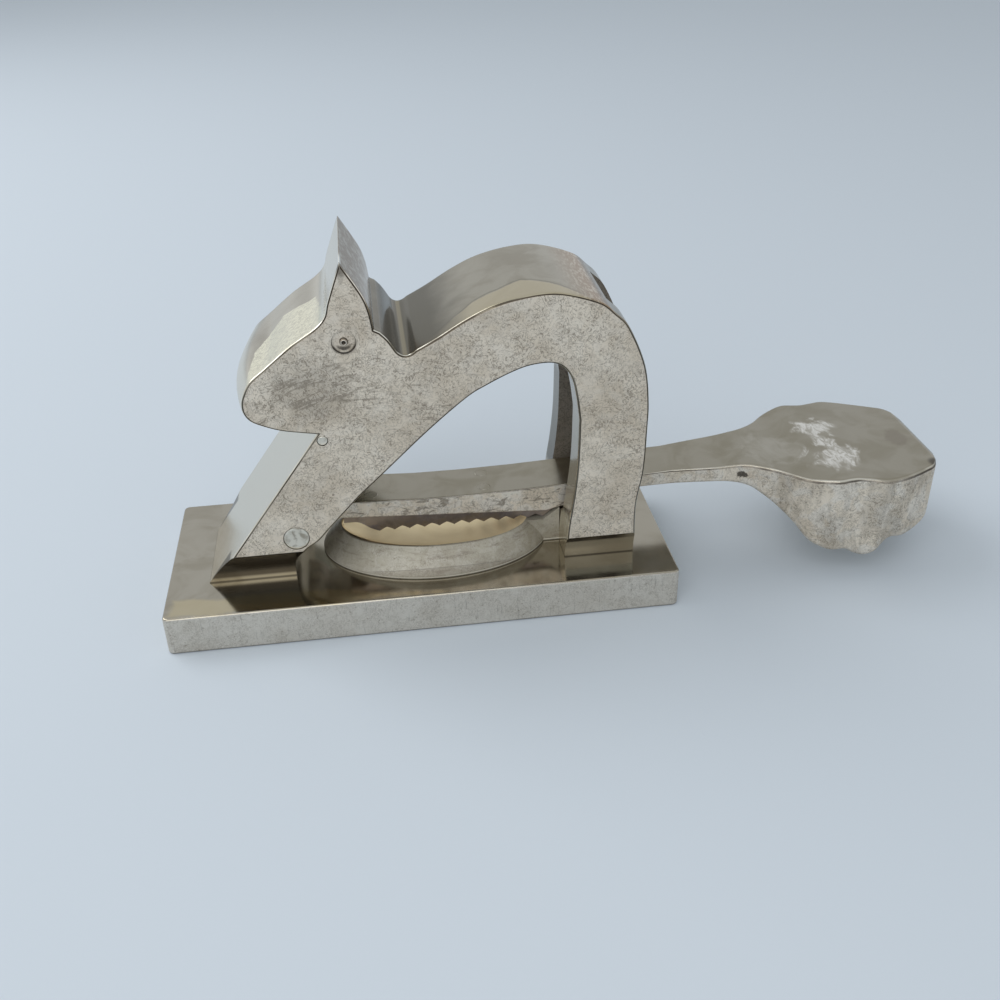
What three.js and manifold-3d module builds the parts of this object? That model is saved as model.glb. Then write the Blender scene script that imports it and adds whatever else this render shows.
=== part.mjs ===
// A lever nutcracker press shaped as a crouching squirrel.
// The squirrel is one thick cut-out on a rectangular base. Its tail is the handle of a long
// lever that runs through the hind leg, carries a toothed jaw and turns on a pin in the fore leg.
// Under the belly an oval lower jaw stands on the base, with a polished bowl that holds the nut.
// Millimetres, +Z up, +X from the nose to the tail, origin at the centre of the underside.
import * as THREE from 'three';
import * as BufferGeometryUtils from 'three/addons/utils/BufferGeometryUtils.js';
import Module from 'manifold-3d';

const wasm = await Module();
wasm.setup();

// Driving dimensions of the squirrel and its base
const BODY_LENGTH = 118.4;
const BODY_HEIGHT = 89;
const BODY_WIDTH = 38;
const BODY_EDGE = 0.5;
const NOSE_CROWN = 2.2;
const BASE_DEPTH = 57;
const BASE_THICKNESS = 11.3;
const BASE_FRONT_MARGIN = 11;
const BASE_REAR_MARGIN = 8.7;
const BASE_CORNER_RADIUS = 1.6;
const BASE_EDGE = 0.7;

// The coved feet
const FORE_COVE_HEIGHT = 11.2;
const FORE_COVE_DEPTH = 5.6;
const HIND_COVE_HEIGHT = 7.6;
const HIND_COVE_DEPTH = 2.4;

// The lever, its bar and the bushy tail
const BAR_WIDTH = 15;
const BAR_THICKNESS = 5.2;
const EYE_WALL = 2.6;
const HIND_SLOT_WIDTH = 20;
const NECK_LENGTH = 36.6;
const TAIL_LENGTH = 50;
const TAIL_WIDTH = 49.8;
const TAIL_DEPTH = 25;
const MAX_SWING = THREE.MathUtils.degToRad(30);

// The two jaws
const UPPER_JAW_WIDTH = 13;
const TOOTH_COUNT = 12;
const TOOTH_DEPTH = 1.1;
const LOWER_JAW_LENGTH = 64;
const LOWER_JAW_WIDTH = 42.6;
const LOWER_JAW_HEIGHT = 7.2;
const BOWL_LENGTH = 53;
const BOWL_WIDTH = 31.2;
const BOWL_DEPTH = 5;

// Pins, rivets and screws
const PIVOT_PIN_RADIUS = 3.3;
const THROAT_PIN_RADIUS = 1.3;
const RIVET_RADIUS = 1.7;
const RIVET_SPACING = 7.8;
const RIVET_EMBED = 1.4;
const EYE_STUD_RADIUS = 0.85;
const EYE_STUD_LENGTH = 4;
const EYE_STUD_PROUD = 0.5;
const EYE_DISC_RADIUS = 3;
const EYE_DISC_DEPTH = 0.8;
const EYE_DISC_TILT = THREE.MathUtils.degToRad(9);
const SCREW_RADIUS = 2;
const SCREW_HEAD_RADIUS = 3.9;
const SCREW_HEAD_HEIGHT = 2.3;
const SCREW_LENGTH = 14.6;
const SCREW_RECESS = 0.5;
const SCREW_SLOT_WIDTH = 1.1;
const SCREW_SLOT_DEPTH = 1.1;

// Clearances
const FIT = 0.3;
const OVERRUN = 2;

// The left side of the part is +Y, the right side is -Y
const SIDES = [1, -1];

// How finely round things are faceted
const CURVE_STEPS = 3;
const WIDTH_STEPS = 6;
const ROUND_SIDES = 32;
const FINE_SIDES = 20;
const OVAL_SIDES = 56;
const BOWL_STEPS = 7;

// Outlines of the squirrel: shares of the body's length from the toe, and of its height
const BACK_SHARES = [
  [0.986, 0], [0.983, 0.175], [0.997, 0.302], [1, 0.435], [1, 0.529], [0.988, 0.645],
  [0.951, 0.762], [0.92, 0.808], [0.884, 0.845], [0.805, 0.877], [0.74, 0.876], [0.668, 0.855],
  [0.609, 0.82],
  [0.549, 0.773], [0.503, 0.741],
];
const NECK_NOTCH_SHARE = [0.481, 0.7155];
const NAPE_SHARES = [[0.465, 0.742], [0.449, 0.7775], [0.434, 0.8]];
const EAR_SHARES = [[0.4225, 0.808], [0.4165, 0.862], [0.4035, 0.912], [0.3655, 1]];
const FACE_SHARES = [
  [0.353, 0.958], [0.334, 0.891], [0.325, 0.853], [0.302, 0.821], [0.251, 0.7775], [0.194, 0.717],
  [0.161, 0.68], [0.1436, 0.639], [0.139, 0.6135], [0.141, 0.59], [0.15, 0.5685], [0.168, 0.5517],
  [0.2095, 0.529], [0.256, 0.5157],
];
const CHIN_SHARE = [0.285, 0.509];
const TOE_SHARE = [0, 0];
const HEEL_SHARES = [
  [0.1985, 0], [0.2, 0.05], [0.211, 0.088], [0.232, 0.128], [0.261, 0.155], [0.287, 0.192],
];
const ARCH_SHARES = [
  [0.363, 0.299], [0.417, 0.365], [0.518, 0.49], [0.603, 0.5845], [0.648, 0.62], [0.697, 0.651],
  [0.737, 0.669], [0.778, 0.674], [0.802, 0.666], [0.818, 0.647], [0.831, 0.615], [0.84, 0.56],
  [0.847, 0.49],
];
const SHIN_SHARES = [[0.847, 0.49], [0.8446, 0.344], [0.837, 0.23], [0.825, 0.1135], [0.822, 0]];

// Places on the squirrel, in the same shares
const PIVOT_SHARE = [0.2137, 0.173];
const THROAT_PIN_SHARE = [0.295, 0.489];
const EYE_SHARE = [0.3598, 0.781];
const NOSE_SHARE = [0.139, 0.6135];
const NOSE_REACH_SHARE = 0.1;
const SLOT_CREST_SHARE = [0.914, 0.8155];
const SLOT_START_SHARE = 0.69;
const SLOT_START_RISE_SHARE = 0.66;
const FORE_FOOT_SCREW_SHARE = 0.105;
const HIND_FOOT_SCREW_SHARE = 0.905;
const LOWER_JAW_SCREW_FRONT_SHARE = 0.3197;
const LOWER_JAW_SCREW_REAR_SHARE = 0.7707;

// The toothed jaw: shares of the body's length, and of the jaw's depth above the teeth's tips
const JAW_LEAD_SHARES = [[0.3167, 0.65], [0.3425, 0.65], [0.355, 0.56], [0.378, 0.2]];
const FIRST_TOOTH_SHARE = 0.3974;
const LAST_TOOTH_SHARE = 0.7834;
const JAW_END_SHARE = 0.811;
const RIVET_FRONT_SHARE = 0.385;
const RIVET_REAR_SHARE = 0.648;

// The oval lower jaw: where its middle is, how blunt its ends are, and its wall. The wall's points
// are shares of the jaw's height, and of the way out from the bowl's rim to the foot.
const LOWER_JAW_CENTRE_SHARE = 0.5315;
const BOWL_FRONT_POWER = 1.8;
const BOWL_REAR_POWER = 2.4;
const FOOT_POWER = 2;
const WALL_SHARES = [
  [0, 1], [0.08, 1], [0.25, 0.91], [0.45, 0.74], [0.65, 0.53], [0.86, 0.28], [1, 0.08],
];

// The bar: its stations as shares of the body's length, its heights as shares of the bar's thickness
const BAR_TOP_SHARES = [
  [0.372, 0.5], [0.49, 0.36], [0.608, 0.35], [0.726, 0.41], [0.845, 0.53], [0.963, 0.64],
  [1.05, 0.74],
];
const SEAT_START_SHARE = [0.3, -0.4];
const SEAT_END_SHARE = [0.79, -1.04];
const BAR_UNDER_SHARES = [[0.88, -0.55], [0.96, -0.18], [1.02, -0.07]];
// The neck: along its length, with heights as shares of the bar's thickness
const NECK_TOP_SHARES = [[0.4, 0.83], [0.65, 0.93], [0.85, 1.05]];
const NECK_UNDER_SHARES = [[0.3, -0.05], [0.5, -0.01], [0.68, -0.02], [0.8, -0.13], [0.9, -0.33]];
// The tail: along its length, with heights as shares of its depth below its crown
const TAIL_TOP_SHARES = [
  [0, 0.02], [0.16, 0.035], [0.33, 0], [0.5, 0.005], [0.74, 0.03], [0.97, 0.03],
];
const TAIL_END_SHARES = [[1.004, 0.12], [1.01, 0.33], [1, 0.52], [0.96, 0.676]];
const TAIL_UNDER_SHARES = [
  [0.9, 0.765], [0.84, 0.812], [0.765, 0.838], [0.69, 0.822], [0.64, 0.88], [0.585, 0.955],
  [0.535, 1], [0.48, 0.985], [0.43, 0.93], [0.36, 0.915], [0.29, 0.88], [0.22, 0.81], [0.15, 0.64],
  [0.06, 0.476], [-0.02, 0.36],
];
const TAIL_CROWN_SHARE = 1.1;

// Half widths of the lever in plan: shares of the tail's length, and of half the tail's width
const TAIL_PLAN_SHARES = [
  [-0.3, 0.36], [-0.12, 0.4], [0.01, 0.51], [0.1, 0.64], [0.17, 0.78], [0.24, 0.875], [0.33, 0.95],
  [0.4, 0.935], [0.45, 0.93], [0.52, 0.965], [0.59, 1], [0.67, 0.97], [0.76, 0.9], [0.86, 0.8],
  [0.935, 0.7], [0.98, 0.49], [0.998, 0.23],
];
const FLARE_START_SHARE = 0.3;
const TAIL_TIP_SHARE = 1.006;

// Frame of the whole part
const baseLength = BASE_FRONT_MARGIN + BODY_LENGTH + BASE_REAR_MARGIN;
const toeX = BASE_FRONT_MARGIN - baseLength / 2;
const baseTop = BASE_THICKNESS;
const halfWidth = BODY_WIDTH / 2;
const slotWidth = BAR_WIDTH + 2 * FIT;
const rimZ = baseTop + LOWER_JAW_HEIGHT;
const toothTipZ = rimZ + FIT;
const along = (lengthShare) => toeX + lengthShare * BODY_LENGTH;

// A share of the body as a point of its side view
function onBody([lengthShare, heightShare]) {
  return new THREE.Vector2(along(lengthShare), baseTop + heightShare * BODY_HEIGHT);
}

const pivot = onBody(PIVOT_SHARE);
const rumpX = toeX + BODY_LENGTH;
const tailX = rumpX + NECK_LENGTH;
const tailCrownZ = pivot.y + TAIL_CROWN_SHARE * BAR_THICKNESS;

// A share of the bar as a point of its side view
function onBar([lengthShare, thicknessShare]) {
  return new THREE.Vector2(along(lengthShare), pivot.y + thicknessShare * BAR_THICKNESS);
}

function onNeck([lengthShare, thicknessShare]) {
  return new THREE.Vector2(rumpX + lengthShare * NECK_LENGTH, pivot.y + thicknessShare * BAR_THICKNESS);
}

function onTail([lengthShare, depthShare]) {
  return new THREE.Vector2(tailX + lengthShare * TAIL_LENGTH, tailCrownZ - depthShare * TAIL_DEPTH);
}

const seatStart = onBar(SEAT_START_SHARE);
const seatEnd = onBar(SEAT_END_SHARE);

// Height of the bar's straight underside, where the upper jaw is seated
function seatHeight(x) {
  const share = (x - seatStart.x) / (seatEnd.x - seatStart.x);
  return THREE.MathUtils.lerp(seatStart.y, seatEnd.y, share);
}

// Solids are joined and cut as closed meshes
function solidOf(geometry) {
  const bare = geometry.clone();
  bare.deleteAttribute('normal');
  bare.deleteAttribute('uv');
  const merged = BufferGeometryUtils.mergeVertices(bare);
  const mesh = new wasm.Mesh({
    numProp: 3,
    vertProperties: new Float32Array(merged.attributes.position.array),
    triVerts: new Uint32Array(merged.index.array),
  });
  return new wasm.Manifold(mesh);
}

function cut(geometry, ...tools) {
  let solid = solidOf(geometry);
  for (const tool of tools) {
    solid = solid.subtract(solidOf(tool));
  }
  return geometryOf(solid);
}

function join(geometry, ...others) {
  let solid = solidOf(geometry);
  for (const other of others) {
    solid = solid.add(solidOf(other));
  }
  return geometryOf(solid);
}

function common(geometry, other) {
  return geometryOf(solidOf(geometry).intersect(solidOf(other)));
}

function geometryOf(solid) {
  const mesh = solid.getMesh();
  const indexed = new THREE.BufferGeometry();
  indexed.setAttribute('position', new THREE.BufferAttribute(mesh.vertProperties, 3));
  indexed.setIndex(new THREE.BufferAttribute(mesh.triVerts, 1));
  const geometry = indexed.toNonIndexed();
  geometry.computeVertexNormals();
  return geometry;
}

// A plate whose outline lies in the side view, centred on the middle plane
function sidePlate(shape, width, edge = 0, steps = 1) {
  const geometry = new THREE.ExtrudeGeometry(shape, {
    depth: width - 2 * edge,
    steps,
    curveSegments: CURVE_STEPS,
    bevelEnabled: edge > 0,
    bevelThickness: edge,
    bevelSize: edge,
    bevelOffset: -edge,
    bevelSegments: 1,
  });
  geometry.translate(0, 0, edge - width / 2);
  geometry.rotateX(Math.PI / 2);
  return geometry;
}

// A bar of constant section along the part's length; the section is drawn across and up
function lengthwise(shape, fromX, toX) {
  const geometry = new THREE.ExtrudeGeometry(shape, {
    depth: toX - fromX,
    bevelEnabled: false,
    curveSegments: 2 * CURVE_STEPS,
  });
  const across = new THREE.Vector3(0, 1, 0);
  const up = new THREE.Vector3(0, 0, 1);
  const lengthways = new THREE.Vector3(1, 0, 0);
  geometry.applyMatrix4(new THREE.Matrix4().makeBasis(across, up, lengthways));
  geometry.translate(fromX, 0, 0);
  return geometry;
}

// A cylinder across the part, at a point of the side view
function crossRod(radius, width, point, sides = ROUND_SIDES) {
  const geometry = new THREE.CylinderGeometry(radius, radius, width, sides);
  geometry.translate(point.x, 0, point.y);
  return geometry;
}

// An upright cylinder between two heights
function uprightRod(radius, x, y, fromZ, toZ, sides = FINE_SIDES) {
  const geometry = new THREE.CylinderGeometry(radius, radius, toZ - fromZ, sides);
  geometry.rotateX(Math.PI / 2);
  geometry.translate(x, y, (fromZ + toZ) / 2);
  return geometry;
}

function shapeOf(points) {
  return new THREE.Shape(points);
}

function smoothLine(shape, points) {
  shape.lineTo(points[0].x, points[0].y);
  shape.splineThru(points.slice(1));
}

// The squirrel's side view, from the hind heel over the back and the head to the fore foot
function squirrelShape() {
  const shape = new THREE.Shape();
  const start = onBody(BACK_SHARES[0]);
  shape.moveTo(start.x, start.y);
  shape.splineThru(BACK_SHARES.slice(1).map(onBody));
  const notch = onBody(NECK_NOTCH_SHARE);
  const nape = NAPE_SHARES.map(onBody);
  shape.quadraticCurveTo(notch.x, notch.y, nape[0].x, nape[0].y);
  shape.splineThru(nape.slice(1));
  smoothLine(shape, EAR_SHARES.map(onBody));
  smoothLine(shape, FACE_SHARES.map(onBody));
  for (const share of [CHIN_SHARE, TOE_SHARE]) {
    const corner = onBody(share);
    shape.lineTo(corner.x, corner.y);
  }
  smoothLine(shape, HEEL_SHARES.map(onBody));
  smoothLine(shape, ARCH_SHARES.map(onBody));
  smoothLine(shape, SHIN_SHARES.map(onBody));
  shape.closePath();
  return shape;
}

// The muzzle swells forward between the two side faces
function crownNose(geometry) {
  const nose = onBody(NOSE_SHARE);
  const reach = NOSE_REACH_SHARE * BODY_LENGTH;
  const position = geometry.attributes.position;
  for (let i = 0; i < position.count; i += 1) {
    const gap = Math.hypot(position.getX(i) - nose.x, position.getZ(i) - nose.y) / reach;
    const across = position.getY(i) / halfWidth;
    const swell = NOSE_CROWN * Math.max(0, 1 - gap * gap) * (1 - across * across);
    position.setX(i, position.getX(i) - swell);
  }
  return geometry;
}

// What is cut away along both sides of a foot: a hollow curve from the side face down to the base
function coveTools(height, depth, fromX, toX) {
  return SIDES.map((side) => {
    const rootY = side * (halfWidth - depth);
    const outsideY = side * (halfWidth + OVERRUN);
    const section = new THREE.Shape();
    section.moveTo(rootY, baseTop - OVERRUN);
    section.lineTo(rootY, baseTop);
    section.quadraticCurveTo(rootY, baseTop + height / 2, side * halfWidth, baseTop + height);
    section.lineTo(outsideY, baseTop + height);
    section.lineTo(outsideY, baseTop - OVERRUN);
    section.closePath();
    return lengthwise(section, fromX, toX);
  });
}

// A point of the bar, turned about the pivot from rest
function swung(u, w, angle) {
  const turned = new THREE.Vector2(u, w).rotateAround(new THREE.Vector2(), angle);
  return turned.add(pivot);
}

const eyeRadius = PIVOT_PIN_RADIUS + FIT + EYE_WALL;
const barTopReach = BAR_THICKNESS / 2 + FIT;

// The mortise in the fore leg: room for the bar's round eye, and for the bar from rest to full swing
function mortiseTools() {
  const eyeRoom = crossRod(eyeRadius + FIT, slotWidth, pivot);
  const wedge = shapeOf([
    new THREE.Vector2(pivot.x, seatHeight(pivot.x) - FIT),
    new THREE.Vector2(seatEnd.x, seatEnd.y - FIT),
    swung(BODY_LENGTH / 2, barTopReach, MAX_SWING),
    swung(0, barTopReach, MAX_SWING),
  ]);
  return [eyeRoom, sidePlate(wedge, slotWidth)];
}

// Height of a line through two points
function heightOnLine(from, to, x) {
  return THREE.MathUtils.lerp(from.y, to.y, (x - from.x) / (to.x - from.x));
}

// The slot through the hind leg: its floor stops the lever at rest, its top clears the full swing
const shinX = onBody(SHIN_SHARES[3]).x;
const slotFloorZ = heightOnLine(seatEnd, onBar(BAR_UNDER_SHARES[0]), shinX) - FIT;

function slotTool() {
  const startRise = SLOT_START_RISE_SHARE * BAR_THICKNESS + FIT;
  const start = swung(SLOT_START_SHARE * BODY_LENGTH, startRise, MAX_SWING);
  const crest = onBody(SLOT_CREST_SHARE);
  const outsideX = rumpX + OVERRUN;
  return sidePlate(shapeOf([
    new THREE.Vector2(start.x, slotFloorZ),
    new THREE.Vector2(outsideX, slotFloorZ),
    new THREE.Vector2(outsideX, heightOnLine(start, crest, outsideX)),
    start,
  ]), HIND_SLOT_WIDTH);
}

// A countersunk screw from below, head down; with a clearance it is the hole for the screw
function screwBody(x, y, clearance = 0) {
  const foot = clearance > 0 ? SCREW_RECESS - OVERRUN : SCREW_RECESS;
  const tip = SCREW_RECESS + SCREW_LENGTH + clearance;
  const geometry = new THREE.LatheGeometry([
    new THREE.Vector2(0, foot),
    new THREE.Vector2(SCREW_HEAD_RADIUS + clearance, foot),
    new THREE.Vector2(SCREW_HEAD_RADIUS + clearance, SCREW_RECESS),
    new THREE.Vector2(SCREW_RADIUS + clearance, SCREW_RECESS + SCREW_HEAD_HEIGHT),
    new THREE.Vector2(SCREW_RADIUS + clearance, tip),
    new THREE.Vector2(0, tip),
  ].filter((point, i, all) => i === 0 || point.distanceTo(all[i - 1]) > 0), FINE_SIDES);
  geometry.rotateX(Math.PI / 2);
  geometry.translate(x, y, 0);
  return geometry;
}

function screw(x, y) {
  const slotLength = 2 * SCREW_HEAD_RADIUS + OVERRUN;
  const slot = new THREE.BoxGeometry(slotLength, SCREW_SLOT_WIDTH, 2 * SCREW_SLOT_DEPTH);
  slot.translate(x, y, SCREW_RECESS);
  return cut(screwBody(x, y), slot);
}

// Where the six screws stand: a pair under each foot, and one under each end of the lower jaw
const footScrewY = (slotWidth / 2 + halfWidth - FORE_COVE_DEPTH) / 2;
const SCREW_PLACES = [
  ['fore_foot_screw_left', along(FORE_FOOT_SCREW_SHARE), footScrewY],
  ['fore_foot_screw_right', along(FORE_FOOT_SCREW_SHARE), -footScrewY],
  ['hind_foot_screw_left', along(HIND_FOOT_SCREW_SHARE), footScrewY],
  ['hind_foot_screw_right', along(HIND_FOOT_SCREW_SHARE), -footScrewY],
  ['lower_jaw_screw_front', along(LOWER_JAW_SCREW_FRONT_SHARE), 0],
  ['lower_jaw_screw_rear', along(LOWER_JAW_SCREW_REAR_SHARE), 0],
];
const screwHoles = SCREW_PLACES.map(([, x, y]) => screwBody(x, y, FIT));

function basePlate() {
  const x = baseLength / 2;
  const y = BASE_DEPTH / 2;
  const r = BASE_CORNER_RADIUS;
  const outline = new THREE.Shape();
  outline.moveTo(-x, -y + r);
  outline.absarc(-x + r, -y + r, r, Math.PI, 1.5 * Math.PI);
  outline.absarc(x - r, -y + r, r, 1.5 * Math.PI, 2 * Math.PI);
  outline.absarc(x - r, y - r, r, 0, 0.5 * Math.PI);
  outline.absarc(-x + r, y - r, r, 0.5 * Math.PI, Math.PI);
  const geometry = new THREE.ExtrudeGeometry(outline, {
    depth: BASE_THICKNESS - 2 * BASE_EDGE,
    curveSegments: 2 * CURVE_STEPS,
    bevelThickness: BASE_EDGE,
    bevelSize: BASE_EDGE,
    bevelOffset: -BASE_EDGE,
    bevelSegments: 2,
  });
  geometry.translate(0, 0, BASE_EDGE);
  return cut(geometry, ...screwHoles);
}

// The punched eye: a shallow disc cut that leans into the cheek, deeper along its lower edge
function eyeTool(side) {
  const depth = 2 * EYE_DISC_DEPTH;
  const disc = new THREE.CylinderGeometry(EYE_DISC_RADIUS, EYE_DISC_RADIUS, depth, FINE_SIDES);
  disc.rotateX(side * EYE_DISC_TILT);
  const eye = onBody(EYE_SHARE);
  disc.translate(eye.x, side * (halfWidth + EYE_DISC_DEPTH / 2), eye.y);
  return disc;
}

function eyeStud(side, radius, clearance = 0) {
  const length = EYE_STUD_LENGTH + clearance;
  const stud = crossRod(radius, length, onBody(EYE_SHARE), FINE_SIDES);
  stud.translate(0, side * (halfWidth + EYE_STUD_PROUD - length / 2), 0);
  return stud;
}

function squirrelBody() {
  const plate = crownNose(sidePlate(squirrelShape(), BODY_WIDTH, BODY_EDGE, WIDTH_STEPS));
  const foreKneeX = onBody(HEEL_SHARES[4]).x;
  const hindToeX = onBody(SHIN_SHARES[4]).x - OVERRUN;
  return cut(
    plate,
    ...coveTools(FORE_COVE_HEIGHT, FORE_COVE_DEPTH, toeX - OVERRUN, foreKneeX),
    ...coveTools(HIND_COVE_HEIGHT, HIND_COVE_DEPTH, hindToeX, rumpX + OVERRUN),
    ...mortiseTools(),
    slotTool(),
    crossRod(PIVOT_PIN_RADIUS + FIT, BODY_WIDTH + OVERRUN, pivot),
    crossRod(THROAT_PIN_RADIUS + FIT, BODY_WIDTH + OVERRUN, onBody(THROAT_PIN_SHARE), FINE_SIDES),
    ...SIDES.map(eyeTool),
    ...SIDES.map((side) => eyeStud(side, EYE_STUD_RADIUS + FIT, FIT)),
    ...screwHoles,
  );
}

// Height of the bar's underside behind the seat, where it rises to the slot
function risingHeight(x) {
  return heightOnLine(seatEnd, onBar(BAR_UNDER_SHARES[0]), x);
}

// The lever's toothed jaw, from its rear end over the seat to the lead, then along the teeth
const firstToothX = along(FIRST_TOOTH_SHARE);
const lastToothX = along(LAST_TOOTH_SHARE);

function upperJaw() {
  const frontX = along(JAW_LEAD_SHARES[0][0]);
  const endX = along(JAW_END_SHARE);
  const depth = seatHeight(frontX) - FIT - toothTipZ;
  const pitch = (lastToothX - firstToothX) / (TOOTH_COUNT - 1);
  const outline = [
    new THREE.Vector2(endX, risingHeight(endX) - FIT),
    new THREE.Vector2(seatEnd.x, seatEnd.y - FIT),
    new THREE.Vector2(frontX, seatHeight(frontX) - FIT),
  ];
  for (const [lengthShare, depthShare] of JAW_LEAD_SHARES) {
    outline.push(new THREE.Vector2(along(lengthShare), toothTipZ + depthShare * depth));
  }
  for (let i = 0; i < TOOTH_COUNT; i += 1) {
    if (i > 0) {
      outline.push(new THREE.Vector2(firstToothX + (i - 0.5) * pitch, toothTipZ + TOOTH_DEPTH));
    }
    outline.push(new THREE.Vector2(firstToothX + i * pitch, toothTipZ));
  }
  return cut(sidePlate(shapeOf(outline), UPPER_JAW_WIDTH), ...rivetTools(FIT));
}

// One ring of the oval lower jaw. At 0 it is the bowl's rim and at 1 the outline of the foot.
const jawCentreX = along(LOWER_JAW_CENTRE_SHARE);

function ovalRing(z, share, scale = 1) {
  const halfLength = (scale * THREE.MathUtils.lerp(BOWL_LENGTH, LOWER_JAW_LENGTH, share)) / 2;
  const halfAcross = (scale * THREE.MathUtils.lerp(BOWL_WIDTH, LOWER_JAW_WIDTH, share)) / 2;
  const frontPower = THREE.MathUtils.lerp(BOWL_FRONT_POWER, FOOT_POWER, share);
  const rearPower = THREE.MathUtils.lerp(BOWL_REAR_POWER, FOOT_POWER, share);
  return Array.from({ length: OVAL_SIDES }, (_, i) => {
    const angle = (2 * Math.PI * i) / OVAL_SIDES;
    const lengthways = Math.cos(angle);
    const across = Math.sin(angle);
    const power = 2 / (lengthways > 0 ? rearPower : frontPower);
    return new THREE.Vector3(
      jawCentreX + halfLength * Math.sign(lengthways) * Math.abs(lengthways) ** power,
      halfAcross * Math.sign(across) * Math.abs(across) ** power,
      z,
    );
  });
}

// A closed solid through a stack of rings, the lowest first
function ringStack(rings) {
  const corners = rings.flat();
  const faces = [];
  for (let i = 0; i < OVAL_SIDES; i += 1) {
    const next = (i + 1) % OVAL_SIDES;
    for (let base = 0; base < corners.length - OVAL_SIDES; base += OVAL_SIDES) {
      const above = base + OVAL_SIDES;
      faces.push(base + i, base + next, above + next, base + i, above + next, above + i);
    }
    const top = corners.length - OVAL_SIDES;
    faces.push(corners.length, next, i, corners.length + 1, top + i, top + next);
  }
  corners.push(new THREE.Vector3(jawCentreX, 0, rings[0][0].z));
  corners.push(new THREE.Vector3(jawCentreX, 0, rings[rings.length - 1][0].z));
  const geometry = new THREE.BufferGeometry().setFromPoints(corners);
  geometry.setIndex(faces);
  return geometry;
}

// The oval lower jaw with its bowl, and the web that joins it to the slot's floor in the hind leg
function lowerJaw() {
  const oval = ringStack(WALL_SHARES.map(([heightShare, share]) => (
    ovalRing(baseTop + heightShare * LOWER_JAW_HEIGHT, share)
  )));
  const footX = onBody(SHIN_SHARES[3]).x;
  const web = sidePlate(shapeOf([
    new THREE.Vector2(jawCentreX, baseTop),
    new THREE.Vector2(footX, baseTop),
    new THREE.Vector2(footX, slotFloorZ),
    new THREE.Vector2(lastToothX, rimZ),
    new THREE.Vector2(jawCentreX, rimZ),
  ]), BAR_WIDTH);
  const bowlRings = Array.from({ length: BOWL_STEPS }, (_, i) => {
    const angle = ((i + 1) / BOWL_STEPS) * (Math.PI / 2);
    return ovalRing(rimZ - BOWL_DEPTH * Math.cos(angle), 0, Math.sin(angle));
  });
  const bowl = ringStack([...bowlRings, ovalRing(rimZ + OVERRUN, 0)]);
  const hindLeg = sidePlate(squirrelShape(), BODY_WIDTH + OVERRUN);
  hindLeg.translate(-FIT, 0, 0);
  return cut(join(oval, web), bowl, hindLeg, ...screwHoles);
}

// The bar's top runs straight between its stations
function barTopHeight(x) {
  const stations = BAR_TOP_SHARES.map(onBar);
  const next = Math.max(1, stations.findIndex((station) => station.x > x));
  return heightOnLine(stations[next - 1], stations[next], x);
}

// Flush rivets that hold the toothed jaw to the bar; with a clearance they are its holes
const rivetPlaces = [along(RIVET_FRONT_SHARE), along(RIVET_REAR_SHARE)];

function rivet(x, y, clearance = 0) {
  const bottom = seatHeight(x) - FIT - RIVET_EMBED - clearance;
  const top = barTopHeight(x) + (clearance > 0 ? OVERRUN : 0);
  return uprightRod(RIVET_RADIUS + clearance, x, y, bottom, top);
}

function rivetTools(clearance) {
  return rivetPlaces.flatMap((x) => [
    rivet(x, RIVET_SPACING / 2, clearance),
    rivet(x, -RIVET_SPACING / 2, clearance),
  ]);
}

// The lever's side view: the bar, the neck and the bushy tail
function leverSideShape() {
  const shape = new THREE.Shape();
  shape.moveTo(pivot.x, seatHeight(pivot.x));
  shape.lineTo(pivot.x, pivot.y + BAR_THICKNESS / 2);
  for (const share of BAR_TOP_SHARES) {
    const station = onBar(share);
    shape.lineTo(station.x, station.y);
  }
  shape.splineThru([...NECK_TOP_SHARES.map(onNeck), ...TAIL_TOP_SHARES.map(onTail)]);
  shape.splineThru(TAIL_END_SHARES.map(onTail));
  shape.splineThru([...TAIL_UNDER_SHARES.map(onTail), ...NECK_UNDER_SHARES.toReversed().map(onNeck)]);
  for (const share of [...BAR_UNDER_SHARES.toReversed(), SEAT_END_SHARE, SEAT_START_SHARE]) {
    const station = onBar(share);
    shape.lineTo(station.x, station.y);
  }
  shape.closePath();
  return shape;
}

// The lever from above: a straight bar that swells into the leaf of the tail
function leverPlanShape() {
  const frontX = pivot.x;
  const flareX = rumpX + FLARE_START_SHARE * NECK_LENGTH;
  const tipX = tailX + TAIL_TIP_SHARE * TAIL_LENGTH;
  const half = BAR_WIDTH / 2;
  const right = TAIL_PLAN_SHARES.map(([lengthShare, widthShare]) => new THREE.Vector2(
    tailX + lengthShare * TAIL_LENGTH,
    (widthShare * TAIL_WIDTH) / 2,
  ));
  const left = right.map((point) => new THREE.Vector2(point.x, -point.y)).reverse();
  const shape = new THREE.Shape();
  shape.moveTo(frontX, -half);
  shape.lineTo(frontX, half);
  shape.lineTo(flareX, half);
  shape.splineThru([...right, new THREE.Vector2(tipX, 0), ...left, new THREE.Vector2(flareX, -half)]);
  shape.closePath();
  return shape;
}

function tailLever() {
  const side = sidePlate(leverSideShape(), TAIL_WIDTH + OVERRUN);
  const plan = new THREE.ExtrudeGeometry(leverPlanShape(), {
    depth: 2 * TAIL_DEPTH + 2 * OVERRUN,
    bevelEnabled: false,
    curveSegments: CURVE_STEPS,
  });
  plan.translate(0, 0, tailCrownZ - 1.5 * TAIL_DEPTH);
  const blank = join(common(side, plan), crossRod(eyeRadius, BAR_WIDTH, pivot));
  return cut(blank, crossRod(PIVOT_PIN_RADIUS + FIT, BAR_WIDTH + OVERRUN, pivot), ...rivetTools(FIT));
}

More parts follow.
